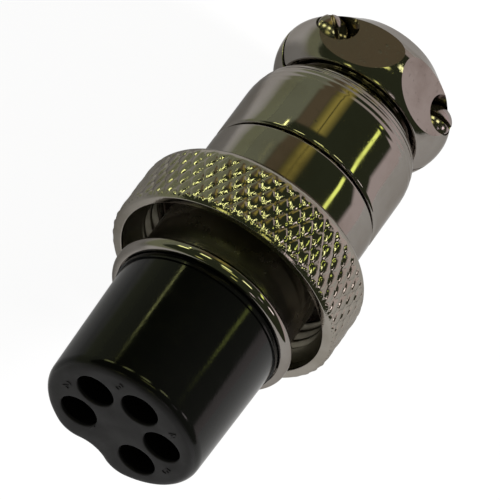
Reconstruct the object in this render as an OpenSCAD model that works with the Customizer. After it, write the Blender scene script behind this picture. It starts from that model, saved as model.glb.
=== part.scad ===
// Free cable microphone socket with a knurled coupling ring and a two-screw cable clamp.
// Millimetres. The axis lies along X: mating face at x = 0, cable end towards +X,
// clamp saddle towards +Z, key groove towards -Z.

/* [Insert] */
// Diameter of the insert's body inside the sleeve
body_d = 11.6; // [10.5:0.1:13]
// Length of the nose ahead of the sleeve
nose_len = 11; // [8:0.1:14]
// Height of the foot above the body, where the nose enters the sleeve
foot_h = 0.9; // [0.6:0.05:1.1]
// Step from the foot down to the nose
foot_step = 0.12; // [0.05:0.01:0.3]
// Draft of the nose from its root to the mating face
nose_draft = 0.25; // [0.1:0.05:0.5]
// Rounding of the mating face's edge
nose_edge_r = 0.85; // [0.4:0.05:1.2]
// Length of the foot that stands ahead of the sleeve
foot_len = 0.45; // [0.2:0.05:1]
// Depth that the foot sits in the sleeve's bead
foot_seat = 0.5; // [0.3:0.05:0.7]
// Radius of the key groove's round bottom
key_r = 1.9; // [1.6:0.05:2.1]
// Depth of the key groove below the nose
key_depth = 1.5; // [1.2:0.05:1.6]
// Rounding where the key groove meets the nose
key_lip_r = 2.2; // [1.5:0.05:2.4]

/* [Contacts] */
// Number of contacts
contact_count = 5; // [5:1:5]
// Distance from a contact's axis to the side of the insert's body
contact_rim = 2.35; // [2.2:0.05:2.5]
// Angle from one contact to the next
contact_step = 64; // [60:1:68]
// Diameter of the entry hole in the face
entry_d = 3; // [2.7:0.1:3.2]
// Depth of the contact below the face
contact_recess = 2.2; // [1.5:0.1:4]
// Bore of the contact
contact_bore_d = 2; // [1.6:0.05:2.2]
// Wall of the contact's tube
contact_wall = 0.25; // [0.15:0.01:0.3]
// Depth of the contact's bore
contact_bore_len = 8.2; // [6:0.1:10]
// Length of the slit that makes the contact springy
slit_len = 4.6; // [3:0.1:5.5]
// Width of the slit
slit_w = 0.35; // [0.2:0.05:0.5]
// Height of the collar behind the insert
collar_h = 0.25; // [0.15:0.01:0.35]
// Thickness of the collar
collar_t = 0.6; // [0.4:0.05:0.8]
// Bore of the solder cup
cup_bore_d = 1.5; // [1.2:0.05:1.7]
// Wall of the solder cup
cup_wall = 0.35; // [0.25:0.05:0.4]
// Length of the solder cup
cup_len = 3.2; // [2:0.1:3.6]

/* [Sleeve] */
// Wall of the sleeve at its neck, under the coupling ring
neck_wall = 0.59; // [0.5:0.01:0.8]
// Length of the neck
neck_len = 7.4; // [6.8:0.1:10]
// Height of the rounded bead above the neck
bead_h = 0.95; // [0.8:0.05:1.2]
// Width of the bead
bead_w = 1.1; // [1:0.05:1.4]
// Rounding of the bead's edges
bead_edge_r = 0.42; // [0.2:0.02:0.45]
// Width of the plain band
band_w = 5; // [3:0.1:6]
// Height of the stop behind the insert
stop_h = 0.35; // [0.2:0.05:0.4]
// Wall of the threaded spigot
spigot_wall = 0.8; // [0.6:0.05:1]
// Length of the spigot
spigot_len = 3.4; // [2.5:0.1:3.6]
// Bevel on the edges at the joint line
joint_bevel = 0.28; // [0.1:0.02:0.3]

/* [Lock screw] */
// Diameter of the insert's lock screw
lock_d = 2; // [1.6:0.1:2.2]
// Length of the lock screw
lock_len = 1.85; // [1.6:0.05:2]

/* [Coupling ring] */
// Length of the ring
ring_len = 5.8; // [5.2:0.1:8]
// Wall of the ring from its thread to the knurl
ring_wall = 1.7; // [1.5:0.05:2.2]
// Bevel around the front face
ring_front_bevel = 0.3; // [0.1:0.05:0.5]
// Rounding of the rear edge
ring_rear_r = 1.6; // [0.6:0.1:1.7]
// Height of the plain mouth above the thread
mouth_step = 0.8; // [0.4:0.05:0.9]
// Depth of the plain mouth ahead of the thread
mouth_len = 0.9; // [0.5:0.1:1.5]
// Number of diamonds around the knurl
knurl_count = 48; // [36:2:60]
// Angle of the knurl's grooves from the axis
knurl_angle = 32; // [25:1:40]
// Depth of the knurl's grooves
knurl_depth = 0.13; // [0.08:0.01:0.2]
// Slope of the grooves' sides
knurl_slope = 40; // [30:1:50]
// Thickness of the retaining ring
clip_t = 0.7; // [0.5:0.05:0.9]
// Width of the retaining ring's section
clip_w = 1.5; // [1.4:0.05:1.6]
// Width of the split in the retaining ring
clip_split = 3; // [1:0.1:5]
// Width of the ring's rear lip behind the retaining ring
rear_lip_w = 0.65; // [0.5:0.05:0.8]

/* [Rear shell] */
// Wall of the barrel over the spigot's thread
barrel_wall = 0.63; // [0.5:0.01:0.9]
// Length of the barrel up to its shoulder
barrel_len = 4.4; // [4.2:0.1:8]
// Length of the rounded shoulder
shoulder_len = 3; // [2.4:0.1:3.4]
// Drop of the rounded shoulder
shoulder_drop = 1.5; // [1.2:0.05:1.7]
// Number of fine turned rings on the shoulder
turned_rings = 6; // [3:1:8]
// Depth of the turned rings
turned_depth = 0.06; // [0.03:0.01:0.12]
// Step from the shoulder down to the gland neck
gland_step = 0.42; // [0.2:0.02:0.6]
// Length of the gland neck
gland_len = 1.4; // [1.2:0.05:1.8]
// Wall of the gland neck
gland_wall = 1.4; // [1:0.05:1.6]
// Height of the end flange above the gland neck
flange_h = 0.35; // [0.25:0.05:0.4]
// Thickness of the end flange
flange_t = 0.5; // [0.4:0.05:0.55]
// Step from the shell's thread down to the solder space
cavity_step = 0.5; // [0.3:0.05:0.7]

/* [Cable clamp] */
// Height of the clamp's widest place above the barrel
clamp_proud = 0.22; // [0.1:0.02:0.5]
// Length from the clamp's front to its widest place
bulge_front = 2.6; // [2.4:0.05:2.8]
// Length from the clamp's widest place to its end
bulge_rear = 3.35; // [3.2:0.05:3.5]
// Width of the narrow face at the clamp's front
clamp_face_w = 0.9; // [0.5:0.05:1.2]
// Rounding from the clamp's widest place towards its end
clamp_rear_r = 2; // [1:0.1:2.2]
// Slope of the clamp's rear side
clamp_rear_slope = 45; // [35:1:50]
// Angle of the saddle's two flats from level
flat_angle = 30; // [26:1:34]
// Depth of the saddle's flats below the clamp's widest place
flat_depth = 0.87; // [0.5:0.01:1]
// Thickness of the lip that hooks behind the flange
hook_t = 0.8; // [0.6:0.05:0.9]
// Wall between the cable room and the screw holes
chamber_wall = 0.5; // [0.3:0.05:0.8]
// Bore that grips the cable
cable_d = 5.8; // [5:0.1:6.2]
// Length of the gripping bore
grip_len = 1.6; // [1.2:0.1:2]
// Gap between the two halves
parting_gap = 0.4; // [0.2:0.05:0.6]

/* [Clamp screws] */
// Distance of each screw's axis from the clamp's side
screw_inset = 2.05; // [2:0.05:2.4]
// Distance of the screws behind the clamp's front
screw_back = 3; // [2.95:0.05:3.1]
// Diameter of the screw's shank
screw_d = 1.6; // [1.4:0.05:1.7]
// Length of the shank under the head
screw_len = 5.3; // [4.5:0.1:5.6]
// Diameter of the screw's head
head_d = 2.5; // [2.3:0.05:2.6]
// Height of the head's straight side
head_side_h = 0.8; // [0.6:0.05:1]
// Height of the head's domed top
head_dome_h = 0.5; // [0.4:0.05:0.6]
// Height of the head's seat above the middle
seat_h = 2.5; // [2.4:0.05:2.6]
// Width of the slot
slot_w = 0.36; // [0.3:0.02:0.5]
// Depth of the slot
slot_depth = 0.65; // [0.4:0.05:0.8]
// Angle of the left screw's slot
slot_angle_left = 44; // [0:1:180]
// Angle of the right screw's slot
slot_angle_right = 97; // [0:1:180]

/* [Hidden] */
$fn = 96;

nickel = "#c9c8bd";
nickel_dark = "#b3b1a4";
moulding = "#1d1c1b";
contact_metal = "#c8b06a";
steel = "#a9a79c";

// Clearances
seat_clearance = 0.06;
coupling_clearance = 0.2;
thread_clearance = 0.04;
running_clearance = 0.05;
end_play = 0.1;
screw_clearance = 0.1;
head_clearance = 0.12;
joint_gap = 0.2;

// How far a cut reaches past the face that it opens
overcut = 1;

// Stations along the axis
bead_rear_x = nose_len + bead_w;
band_front_x = bead_rear_x + neck_len;
band_rear_x = band_front_x + band_w;
spigot_end_x = band_rear_x + spigot_len;
shell_front_x = band_rear_x + joint_gap;
shoulder_x = shell_front_x + barrel_len;
gland_x = shoulder_x + shoulder_len;
flange_x = gland_x + gland_len;
flange_end_x = flange_x + flange_t;
clip_front_x = band_front_x - end_play - clip_t;
groove_front_x = clip_front_x - end_play / 2;
groove_rear_x = groove_front_x + clip_t + end_play;
ring_rear_x = groove_rear_x + rear_lip_w;
ring_front_x = ring_rear_x - ring_len;
clamp_front_x = flange_x - end_play - hook_t;
bulge_x = clamp_front_x + bulge_front;
clamp_end_x = bulge_x + bulge_rear;
screw_x = clamp_front_x + screw_back;
lock_x = band_front_x + band_w / 2;

// Insert and its seat in the sleeve
foot_d = body_d + 2 * foot_h;
nose_root_d = foot_d - 2 * foot_step;
nose_front_d = nose_root_d - 2 * nose_draft;
seat_x = nose_len + foot_seat;
seat_d = foot_d + 2 * seat_clearance;
sleeve_bore_d = body_d + 2 * seat_clearance;
insert_rear_x = band_rear_x - end_play;
contact_d = contact_bore_d + 2 * contact_wall;
seat_bore_d = contact_d + 2 * running_clearance;
key_x = nose_root_d / 2 - key_depth + key_r;
key_lip_reach = nose_root_d / 2 - key_lip_r;
key_lip_angle = acos((pow(key_lip_reach, 2) + pow(key_x, 2) - pow(key_r + key_lip_r, 2))
    / (2 * key_lip_reach * key_x));
key_lip = key_lip_reach * [cos(key_lip_angle), sin(key_lip_angle)];
key_touch = [key_x, 0] + (key_lip - [key_x, 0]) * key_r / (key_r + key_lip_r);
key_out = 2 * key_lip;

// Sleeve
neck_d = sleeve_bore_d + 2 * neck_wall;
bead_d = neck_d + 2 * bead_h;
spigot_bore_d = body_d - 2 * stop_h;
spigot_d = spigot_bore_d + 2 * spigot_wall;
shell_thread_d = spigot_d + 2 * thread_clearance;
band_d = shell_thread_d + 2 * barrel_wall;

// Contacts
contact_circle_d = body_d - 2 * contact_rim;
collar_d = contact_d + 2 * collar_h;
cup_d = cup_bore_d + 2 * cup_wall;
contact_bore_end_x = contact_recess + contact_bore_len;
collar_x = insert_rear_x + end_play;
cup_x = collar_x + collar_t;
cup_end_x = cup_x + cup_len;
cup_floor = 0.6;

// Lock screw, measured down from the axis
lock_sunk = 0.1;
lock_head = band_d / 2 - lock_sunk;
lock_tip = lock_head - lock_len;
lock_slot_w = 0.35;
lock_slot_depth = 0.5;
lock_point = 0.3;

// Ring
thread_d = bead_d + 2 * coupling_clearance;
ring_d = thread_d + 2 * ring_wall;
mouth_d = thread_d + 2 * mouth_step;
clip_bore_d = neck_d + 2 * running_clearance;
clip_d = clip_bore_d + 2 * clip_w;
groove_d = clip_d + 4 * running_clearance;

// Knurl: the half pitch around the ring, the half pitch along it, and how far the points stand over the ring
knurl_half = PI * ring_d / knurl_count / 2;
knurl_row = knurl_half / tan(knurl_angle);
knurl_rise = knurl_half * cos(knurl_angle) * tan(knurl_slope);
knurl_rows = ceil(ring_len / knurl_row) + 2;
knurl_start_x = ring_front_x - knurl_row;

// Shell and clamp
gland_d = band_d - 2 * (shoulder_drop + gland_step);
flange_d = gland_d + 2 * flange_h;
passage_d = gland_d - 2 * gland_wall;
cavity_d = shell_thread_d - 2 * cavity_step;
thread_relief = 0.4;
cavity_back = 0.4;
shell_thread_end_x = spigot_end_x + thread_relief;
cavity_end_x = shoulder_x - cavity_back;
passage_x = cavity_end_x + (cavity_d - passage_d) / 2;
clamp_r = band_d / 2 + clamp_proud;
screw_y = clamp_r - screw_inset;
chamber_d = 2 * (screw_y - screw_d / 2 - screw_clearance - chamber_wall);
hook_bore_d = gland_d + 2 * screw_clearance;
clamp_face_r = hook_bore_d / 2 + clamp_face_w;
clamp_front_rise = clamp_r - clamp_face_r;
clamp_front_r = (pow(bulge_front, 2) + pow(clamp_front_rise, 2)) / (2 * clamp_front_rise);
clamp_front_angle = asin(bulge_front / clamp_front_r);
clamp_cone_x = bulge_x + clamp_rear_r * sin(clamp_rear_slope);
clamp_cone_r = clamp_r - clamp_rear_r * (1 - cos(clamp_rear_slope));
clamp_end_r = clamp_cone_r - (clamp_end_x - clamp_cone_x) * tan(clamp_rear_slope);
flat_h = clamp_r - flat_depth;
flange_room_d = flange_d + 2 * screw_clearance;
chamber_x = flange_end_x + end_play;
grip_x = clamp_end_x - grip_len;
grip_edge_r = 0.35;
shank_bevel = 0.25;
screw_hole_end = 0.3;
head_room_d = head_d + 2 * head_clearance;
big = 40;

// Points of a circular arc in a plane, from one angle to another
function arc(centre, radius, from, to, steps = 6) =
    [for (i = [0:steps]) let (a = from + (to - from) * i / steps)
        [centre[0] + radius * cos(a), centre[1] + radius * sin(a)]];

// Turns local Z to the axis X, so that local -X points up
module along_axis() {
    rotate([0, 90, 0]) children();
}

// Places a child at one contact's place on the contact circle
module at_contact(index) {
    rotate([0, 0, (index - (contact_count + 1) / 2) * contact_step])
        translate([-contact_circle_d / 2, 0, 0]) children();
}

// Points a child's Z away from the axis on the lower side, at a station along the axis
module downwards_at(station) {
    translate([0, 0, station]) rotate([0, 90, 0]) children();
}

function nose_profile() = concat(
    [[0, 0]],
    arc([nose_front_d / 2 - nose_edge_r, nose_edge_r], nose_edge_r, -90, 0),
    [[nose_root_d / 2, nose_len - foot_len],
     [foot_d / 2, nose_len - foot_len],
     [foot_d / 2, seat_x],
     [0, seat_x]]);

// Cross-section of the round-bottomed key groove
module key_section() {
    difference() {
        union() {
            translate([key_x, 0]) circle(key_r);
            polygon([key_touch, key_lip, key_out, [key_out[0], -key_out[1]],
                [key_lip[0], -key_lip[1]], [key_touch[0], -key_touch[1]]]);
        }
        for (side = [-1, 1])
            translate([key_lip[0], side * key_lip[1]]) circle(key_lip_r);
    }
}

module contact_insert() {
    color(moulding) along_axis() difference() {
        union() {
            rotate_extrude() polygon(nose_profile());
            cylinder(d = body_d, h = insert_rear_x);
        }
        for (index = [1:contact_count]) at_contact(index) {
            translate([0, 0, -overcut]) cylinder(d = entry_d, h = contact_recess + overcut);
            translate([0, 0, -overcut]) cylinder(d = seat_bore_d, h = insert_rear_x + 2 * overcut);
        }
        translate([0, 0, -overcut]) linear_extrude(nose_len + overcut) key_section();
        downwards_at(lock_x) translate([0, 0, lock_tip - end_play])
            cylinder(d = lock_d + 2 * running_clearance, h = band_d);
    }
}

function contact_profile() = [
    [contact_bore_d / 2, contact_recess],
    [contact_d / 2, contact_recess],
    [contact_d / 2, collar_x],
    [collar_d / 2, collar_x],
    [collar_d / 2, cup_x],
    [cup_d / 2, cup_x],
    [cup_d / 2, cup_end_x],
    [cup_bore_d / 2, cup_end_x],
    [cup_bore_d / 2, cup_x + cup_floor],
    [0, cup_x + cup_floor],
    [0, contact_bore_end_x],
    [contact_bore_d / 2, contact_bore_end_x]];

module socket_contact(index) {
    color(contact_metal) along_axis() at_contact(index) difference() {
        rotate_extrude() polygon(contact_profile());
        translate([-contact_d, -slit_w / 2, contact_recess - overcut])
            cube([2 * contact_d, slit_w, slit_len + overcut]);
        translate([-cup_d, -cup_d, cup_x + 2 * cup_floor]) cube([cup_d, 2 * cup_d, cup_len]);
    }
}

module socket_contact_1() { socket_contact(1); }
module socket_contact_2() { socket_contact(2); }
module socket_contact_3() { socket_contact(3); }
module socket_contact_4() { socket_contact(4); }
module socket_contact_5() { socket_contact(5); }

function sleeve_profile() = concat(
    [[seat_d / 2, nose_len]],
    arc([bead_d / 2 - bead_edge_r, nose_len + bead_edge_r], bead_edge_r, -90, 0),
    arc([bead_d / 2 - bead_edge_r, bead_rear_x - bead_edge_r], bead_edge_r, 0, 90),
    [[neck_d / 2, bead_rear_x],
     [neck_d / 2, band_front_x],
     [band_d / 2 - joint_bevel, band_front_x],
     [band_d / 2, band_front_x + joint_bevel],
     [band_d / 2, band_rear_x - joint_bevel],
     [band_d / 2 - joint_bevel, band_rear_x],
     [spigot_d / 2, band_rear_x],
     [spigot_d / 2, spigot_end_x],
     [spigot_bore_d / 2, spigot_end_x],
     [spigot_bore_d / 2, band_rear_x],
     [sleeve_bore_d / 2, band_rear_x],
     [sleeve_bore_d / 2, seat_x],
     [seat_d / 2, seat_x]]);

module front_sleeve() {
    color(nickel) along_axis() difference() {
        rotate_extrude() polygon(sleeve_profile());
        downwards_at(lock_x) cylinder(d = lock_d + 2 * running_clearance, h = band_d);
    }
}

module insert_lock_screw() {
    color(steel) along_axis() downwards_at(lock_x) difference() {
        rotate_extrude() polygon([
            [0, lock_tip], [lock_d / 2 - lock_point, lock_tip], [lock_d / 2, lock_tip + lock_point],
            [lock_d / 2, lock_head], [0, lock_head]]);
        translate([-lock_d, -lock_slot_w / 2, lock_head - lock_slot_depth])
            cube([2 * lock_d, lock_slot_w, 2 * lock_slot_depth]);
    }
}

// Outside of the ring as a solid of revolution, before its knurl and bores
function ring_outline() = concat(
    [[0, ring_front_x],
     [ring_d / 2 - ring_front_bevel, ring_front_x],
     [ring_d / 2, ring_front_x + ring_front_bevel]],
    arc([ring_d / 2 - ring_rear_r, ring_rear_x - ring_rear_r], ring_rear_r, 0, 90, 9),
    [[0, ring_rear_x]]);

// Inside of the ring: threaded mouth, groove for the retaining ring and rear bore
function ring_room() = [
    [0, ring_front_x - overcut],
    [mouth_d / 2, ring_front_x - overcut],
    [mouth_d / 2, ring_front_x + mouth_len],
    [thread_d / 2, ring_front_x + mouth_len + mouth_step],
    [thread_d / 2, groove_front_x],
    [groove_d / 2, groove_front_x],
    [groove_d / 2, groove_rear_x],
    [thread_d / 2, groove_rear_x],
    [thread_d / 2, ring_rear_x + overcut],
    [0, ring_rear_x + overcut]];

// Point of the knurl's lattice: high where column and row are both odd or both even,
// low in the grooves between
function knurl_point(column, row) = let (
        a = 180 * column / knurl_count,
        radius = ring_d / 2 - knurl_depth + ((column + row) % 2 == 0 ? knurl_rise : 0))
    [radius * cos(a), radius * sin(a), knurl_start_x + row * knurl_row];

function knurl_index(column, row) = row * 2 * knurl_count + column % (2 * knurl_count);

// Two triangles of one lattice cell, split along the groove that crosses it
function knurl_cell(column, row) = let (
        a = knurl_index(column, row),
        b = knurl_index(column + 1, row),
        c = knurl_index(column + 1, row + 1),
        d = knurl_index(column, row + 1))
    (column + row) % 2 == 0 ? [[a, d, b], [b, d, c]] : [[a, c, b], [a, d, c]];

// Pyramids between two crossing sets of grooves, as one plug that is longer than the ring
module knurl_plug() {
    columns = 2 * knurl_count;
    polyhedron(
        points = [for (row = [0:knurl_rows]) for (column = [0:columns - 1]) knurl_point(column, row)],
        faces = concat(
            [for (row = [0:knurl_rows - 1]) for (column = [0:columns - 1]) each knurl_cell(column, row)],
            [[for (column = [0:columns - 1]) column],
             [for (column = [columns - 1:-1:0]) knurl_index(column, knurl_rows)]]));
}

module coupling_ring() {
    color(nickel_dark) along_axis() difference() {
        intersection() {
            rotate_extrude() polygon(ring_outline());
            knurl_plug();
        }
        rotate_extrude() polygon(ring_room());
    }
}

module retaining_ring() {
    color(steel) along_axis() translate([0, 0, clip_front_x]) difference() {
        cylinder(d = clip_d, h = clip_t);
        translate([0, 0, -overcut]) cylinder(d = clip_bore_d, h = clip_t + 2 * overcut);
        translate([0, -clip_split / 2, -overcut]) cube([clip_d, clip_split, clip_t + 2 * overcut]);
    }
}

// Shoulder arc with fine turned rings: every second point lies a little deeper
function shoulder_points() = [for (i = [0:2 * turned_rings]) let (
        a = 90 * i / (2 * turned_rings),
        sunk = (i % 2) * turned_depth)
    [band_d / 2 - shoulder_drop + (shoulder_drop - sunk) * cos(a),
     shoulder_x + (shoulder_len - sunk) * sin(a)]];

function shell_profile() = concat(
    [[shell_thread_d / 2, shell_front_x],
     [band_d / 2 - joint_bevel, shell_front_x],
     [band_d / 2, shell_front_x + joint_bevel]],
    shoulder_points(),
    [[gland_d / 2, gland_x],
     [gland_d / 2, flange_x],
     [flange_d / 2, flange_x],
     [flange_d / 2, flange_end_x],
     [passage_d / 2, flange_end_x],
     [passage_d / 2, passage_x],
     [cavity_d / 2, cavity_end_x],
     [cavity_d / 2, shell_thread_end_x],
     [shell_thread_d / 2, shell_thread_end_x]]);

module rear_shell() {
    color(nickel) along_axis() rotate_extrude() polygon(shell_profile());
}

// Outside of the clamp: rounded front, widest place, rounded edge and cone to the end
function clamp_outline() = concat(
    [[0, clamp_front_x]],
    arc([clamp_r - clamp_front_r, bulge_x], clamp_front_r, -clamp_front_angle, 0, 10),
    arc([clamp_r - clamp_rear_r, bulge_x], clamp_rear_r, 0, clamp_rear_slope, 8),
    [[clamp_end_r, clamp_end_x],
     [0, clamp_end_x]]);

// Section of a round room in the clamp, between two stations
module clamp_room(diameter, from, to) {
    translate([-overcut, from]) square([diameter / 2 + overcut, to - from]);
}

// Both clamp halves as one round body with its inside rooms
module clamp_body() {
    along_axis() rotate_extrude() difference() {
        polygon(clamp_outline());
        clamp_room(hook_bore_d, clamp_front_x - overcut, clamp_front_x + hook_t + overcut);
        clamp_room(flange_room_d, clamp_front_x + hook_t, chamber_x);
        clamp_room(chamber_d, chamber_x - overcut, grip_x);
        clamp_room(cable_d, grip_x - overcut, clamp_end_x + overcut);
        difference() {
            clamp_room(cable_d + 2 * grip_edge_r, clamp_end_x - grip_edge_r, clamp_end_x + overcut);
            translate([cable_d / 2 + grip_edge_r, clamp_end_x - grip_edge_r]) circle(grip_edge_r);
        }
    }
}

// Places a child at a clamp screw's axis: side 1 is +Y, side -1 is -Y
module at_screw(side) {
    translate([screw_x, side * screw_y, 0]) children();
}

module clamp_base() {
    color(nickel) difference() {
        clamp_body();
        translate([-big, -big, -parting_gap / 2]) cube(2 * big);
        for (side = [-1, 1]) at_screw(side)
            translate([0, 0, seat_h - screw_len - screw_hole_end])
                cylinder(d = screw_d + 2 * thread_clearance, h = big);
    }
}

module clamp_saddle() {
    color(nickel) difference() {
        clamp_body();
        translate([-big, -big, parting_gap / 2 - 2 * big]) cube(2 * big);
        for (side = [-1, 1]) {
            rotate([-side * flat_angle, 0, 0]) translate([-big, -big, flat_h]) cube(2 * big);
            at_screw(side) translate([0, 0, -overcut]) cylinder(d = screw_d + 2 * screw_clearance, h = big);
            at_screw(side) translate([0, 0, seat_h]) cylinder(d = head_room_d, h = big);
        }
    }
}

// Radius of the ball that the head's domed top is a part of
head_ball_r = (pow(head_d / 2, 2) + pow(head_dome_h, 2)) / (2 * head_dome_h);
head_half_angle = asin(head_d / 2 / head_ball_r);

function screw_profile() = concat(
    [[0, -screw_len],
     [screw_d / 2 - shank_bevel, -screw_len],
     [screw_d / 2, shank_bevel - screw_len],
     [screw_d / 2, 0],
     [head_d / 2, 0]],
    arc([0, head_side_h + head_dome_h - head_ball_r], head_ball_r, 90 - head_half_angle, 90));

module clamp_screw(side, slot_angle) {
    color(steel) at_screw(side) translate([0, 0, seat_h]) difference() {
        rotate_extrude() polygon(screw_profile());
        rotate([0, 0, slot_angle]) translate([-head_d, -slot_w / 2, head_side_h + head_dome_h - slot_depth])
            cube([2 * head_d, slot_w, 2 * slot_depth]);
    }
}

module clamp_screw_left() { clamp_screw(1, slot_angle_left); }
module clamp_screw_right() { clamp_screw(-1, slot_angle_right); }

contact_insert();
socket_contact_1();
socket_contact_2();
socket_contact_3();
socket_contact_4();
socket_contact_5();
front_sleeve();
insert_lock_screw();
coupling_ring();
retaining_ring();
rear_shell();
clamp_base();
clamp_saddle();
clamp_screw_left();
clamp_screw_right();
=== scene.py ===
"""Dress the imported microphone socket: nickel shells, a knurled ring, a black insert and a cable clamp.

Sizes are millimetres in the part's own frame: the axis lies along X from the mating face at x = 0 to the
cable end, the clamp's saddle is towards +Z and the key groove towards -Z. Meshes are scaled to metres when
they are made.
"""
import logging
import math
from dataclasses import dataclass, field, replace
from enum import Enum

import bmesh
import bpy
import numpy as np
from mathutils import Matrix, Vector


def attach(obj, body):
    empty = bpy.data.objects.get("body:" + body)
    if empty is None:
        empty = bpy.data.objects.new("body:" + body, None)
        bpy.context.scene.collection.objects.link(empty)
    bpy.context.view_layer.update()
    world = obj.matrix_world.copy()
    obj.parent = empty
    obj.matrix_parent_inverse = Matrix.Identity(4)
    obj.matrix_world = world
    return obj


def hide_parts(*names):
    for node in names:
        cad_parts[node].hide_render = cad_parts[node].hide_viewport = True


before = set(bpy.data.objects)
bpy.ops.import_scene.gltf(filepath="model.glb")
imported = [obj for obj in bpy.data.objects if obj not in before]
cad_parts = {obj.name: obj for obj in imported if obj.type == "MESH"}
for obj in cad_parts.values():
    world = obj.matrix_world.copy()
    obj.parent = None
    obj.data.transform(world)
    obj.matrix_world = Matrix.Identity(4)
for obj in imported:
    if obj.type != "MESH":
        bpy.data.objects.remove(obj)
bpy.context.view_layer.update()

LOG = logging.getLogger("microphone_socket")
# Metres in a millimetre, and angles in radians
MM = 0.001
FULL_TURN = 2.0 * math.pi
QUARTER_TURN = 0.5 * math.pi
# Faces round a turned piece and round a round cutter, and the longest face along a turned section
TURNED_COLUMNS = 192
ROD_COLUMNS = 72
TURNED_FACE = 1.2
# Smallest angle of an edge that stays sharp after its piece's edges are rounded
SOFTENED_SHARP_DEG = 50.0
# Share that each finer layer of noise has of the one before
NOISE_ROUGHNESS = 0.6
# CAD nodes that keep their shape
CONTACT_PREFIX = "socket_contact"
STEEL_NODES = ("insert_lock_screw", "retaining_ring")
Colour = tuple[float, float, float]
Pair = tuple[float, float]
Triple = tuple[float, float, float]
Socket = bpy.types.NodeSocket
Feed = Socket | Colour | float


class Slot(Enum):
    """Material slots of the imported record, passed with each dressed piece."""

    MOULDING = "black_moulding"
    NICKEL = "nickel_plate"
    STEEL = "plated_steel"


class Body(Enum):
    """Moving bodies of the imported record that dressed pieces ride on."""

    CONNECTOR = "connector_body"
    RING = "ring"
    SADDLE = "saddle"
    SCREW_LEFT = "screw_left"
    SCREW_RIGHT = "screw_right"


@dataclass(frozen=True)
class Corner:
    """One corner of a turned profile.

    Attributes:
        x: Station along the axis.
        r: Radius from the axis.
        fillet: Rounding radius at the corner.
    """

    x: float
    r: float
    fillet: float = 0.0


def unit(vector: np.ndarray) -> np.ndarray:
    """Direction of a vector, as a vector of length 1."""
    return vector / np.linalg.norm(vector)


def rounded_profile(corners: list[Corner], steps: int = 6) -> np.ndarray:
    """Round the corners of a closed profile.

    Each corner with a fillet becomes an arc that is tangent to both of its edges: the arc's centre lies on
    the bisector, and its ends lie fillet / tan(half the corner's angle) away from the corner.

    Args:
        corners: Corners in order round the profile.
        steps: Spans in each arc.

    Returns:
        Points of shape (n, 2), each x and r.
    """
    points = np.array([[corner.x, corner.r] for corner in corners])
    outlines = []
    for index, corner in enumerate(corners):
        here = points[index]
        if corner.fillet <= 0.0:
            outlines.append(here[None, :])
            continue
        before = unit(points[index - 1] - here)
        after = unit(points[(index + 1) % len(points)] - here)
        half = 0.5 * math.acos(float(np.clip(before @ after, -1.0, 1.0)))
        centre = here + unit(before + after) * corner.fillet / math.sin(half)
        first = here + before * corner.fillet / math.tan(half) - centre
        last = here + after * corner.fillet / math.tan(half) - centre
        start = math.atan2(first[1], first[0])
        sweep = math.atan2(last[1], last[0]) - start
        sweep = (sweep + math.pi) % FULL_TURN - math.pi
        angles = start + sweep * np.linspace(0.0, 1.0, steps + 1)
        outlines.append(centre + corner.fillet * np.stack([np.cos(angles), np.sin(angles)], axis=1))
    return np.concatenate(outlines)


def arc_profile(centre: Pair, radius: float, start: float, end: float, steps: int) -> np.ndarray:
    """Points (x, r) of an arc in some steps, between two angles in degrees from the x direction."""
    angles = np.radians(np.linspace(start, end, steps + 1))
    return np.array(centre) + radius * np.stack([np.cos(angles), np.sin(angles)], axis=1)


def dense_profile(profile: np.ndarray, longest: float) -> np.ndarray:
    """Divide the long edges of a closed profile, so that the surface has even faces.

    Args:
        profile: Points of shape (n, 2).
        longest: Longest edge that stays whole.

    Returns:
        Points of shape (m, 2) on the same outline.
    """
    following = np.roll(profile, -1, axis=0)
    lengths = np.linalg.norm(following - profile, axis=1)
    counts = np.maximum(1, np.ceil(lengths / longest)).astype(int)
    owner = np.repeat(np.arange(len(profile)), counts)
    place = (np.arange(counts.sum()) - np.repeat(np.cumsum(counts) - counts, counts)) / counts[owner]
    return profile[owner] + (following - profile)[owner] * place[:, None]


def grid_faces(rows: int, columns: int, rows_closed: bool, columns_closed: bool) -> np.ndarray:
    """Quads between neighbours of a grid of points.

    Args:
        rows: Number of rows.
        columns: Points in each row.
        rows_closed: Whether the last row joins the first.
        columns_closed: Whether the last column joins the first.

    Returns:
        Indices of shape (n, 4).
    """
    row = np.arange(rows if rows_closed else rows - 1)[:, None]
    column = np.arange(columns if columns_closed else columns - 1)[None, :]
    next_row = (row + 1) % rows
    next_column = (column + 1) % columns
    quads = np.stack(np.broadcast_arrays(
        row * columns + column,
        row * columns + next_column,
        next_row * columns + next_column,
        next_row * columns + column,
    ), axis=-1)
    return quads.reshape(-1, 4)


def full_circle(columns: int) -> np.ndarray:
    """Angles of one full turn in even steps, without the one that closes it."""
    return np.linspace(0.0, FULL_TURN, columns, endpoint=False)


def turned_points(x: np.ndarray, r: np.ndarray, angle: np.ndarray) -> np.ndarray:
    """Points at x, y = r sin(angle), z = -r cos(angle), with angles from the key groove's side."""
    x, r, angle = np.broadcast_arrays(x, r, angle)
    return np.stack([x, r * np.sin(angle), -r * np.cos(angle)], axis=-1)


def across_axis(x: np.ndarray, loops: np.ndarray) -> np.ndarray:
    """Points of flat loops of shape (n, m, 2), each y and z, at n stations along the axis."""
    return np.concatenate([np.broadcast_to(x[:, None, None], (*loops.shape[:2], 1)), loops], axis=2)


def link_object(name: str, data: bpy.types.ID) -> bpy.types.Object:
    """Make an object and link it to the scene.

    Args:
        name: Name of the object.
        data: Its mesh, curve, light or camera.

    Returns:
        The object.
    """
    made = bpy.data.objects.new(name, data)
    bpy.context.scene.collection.objects.link(made)
    return made


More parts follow.
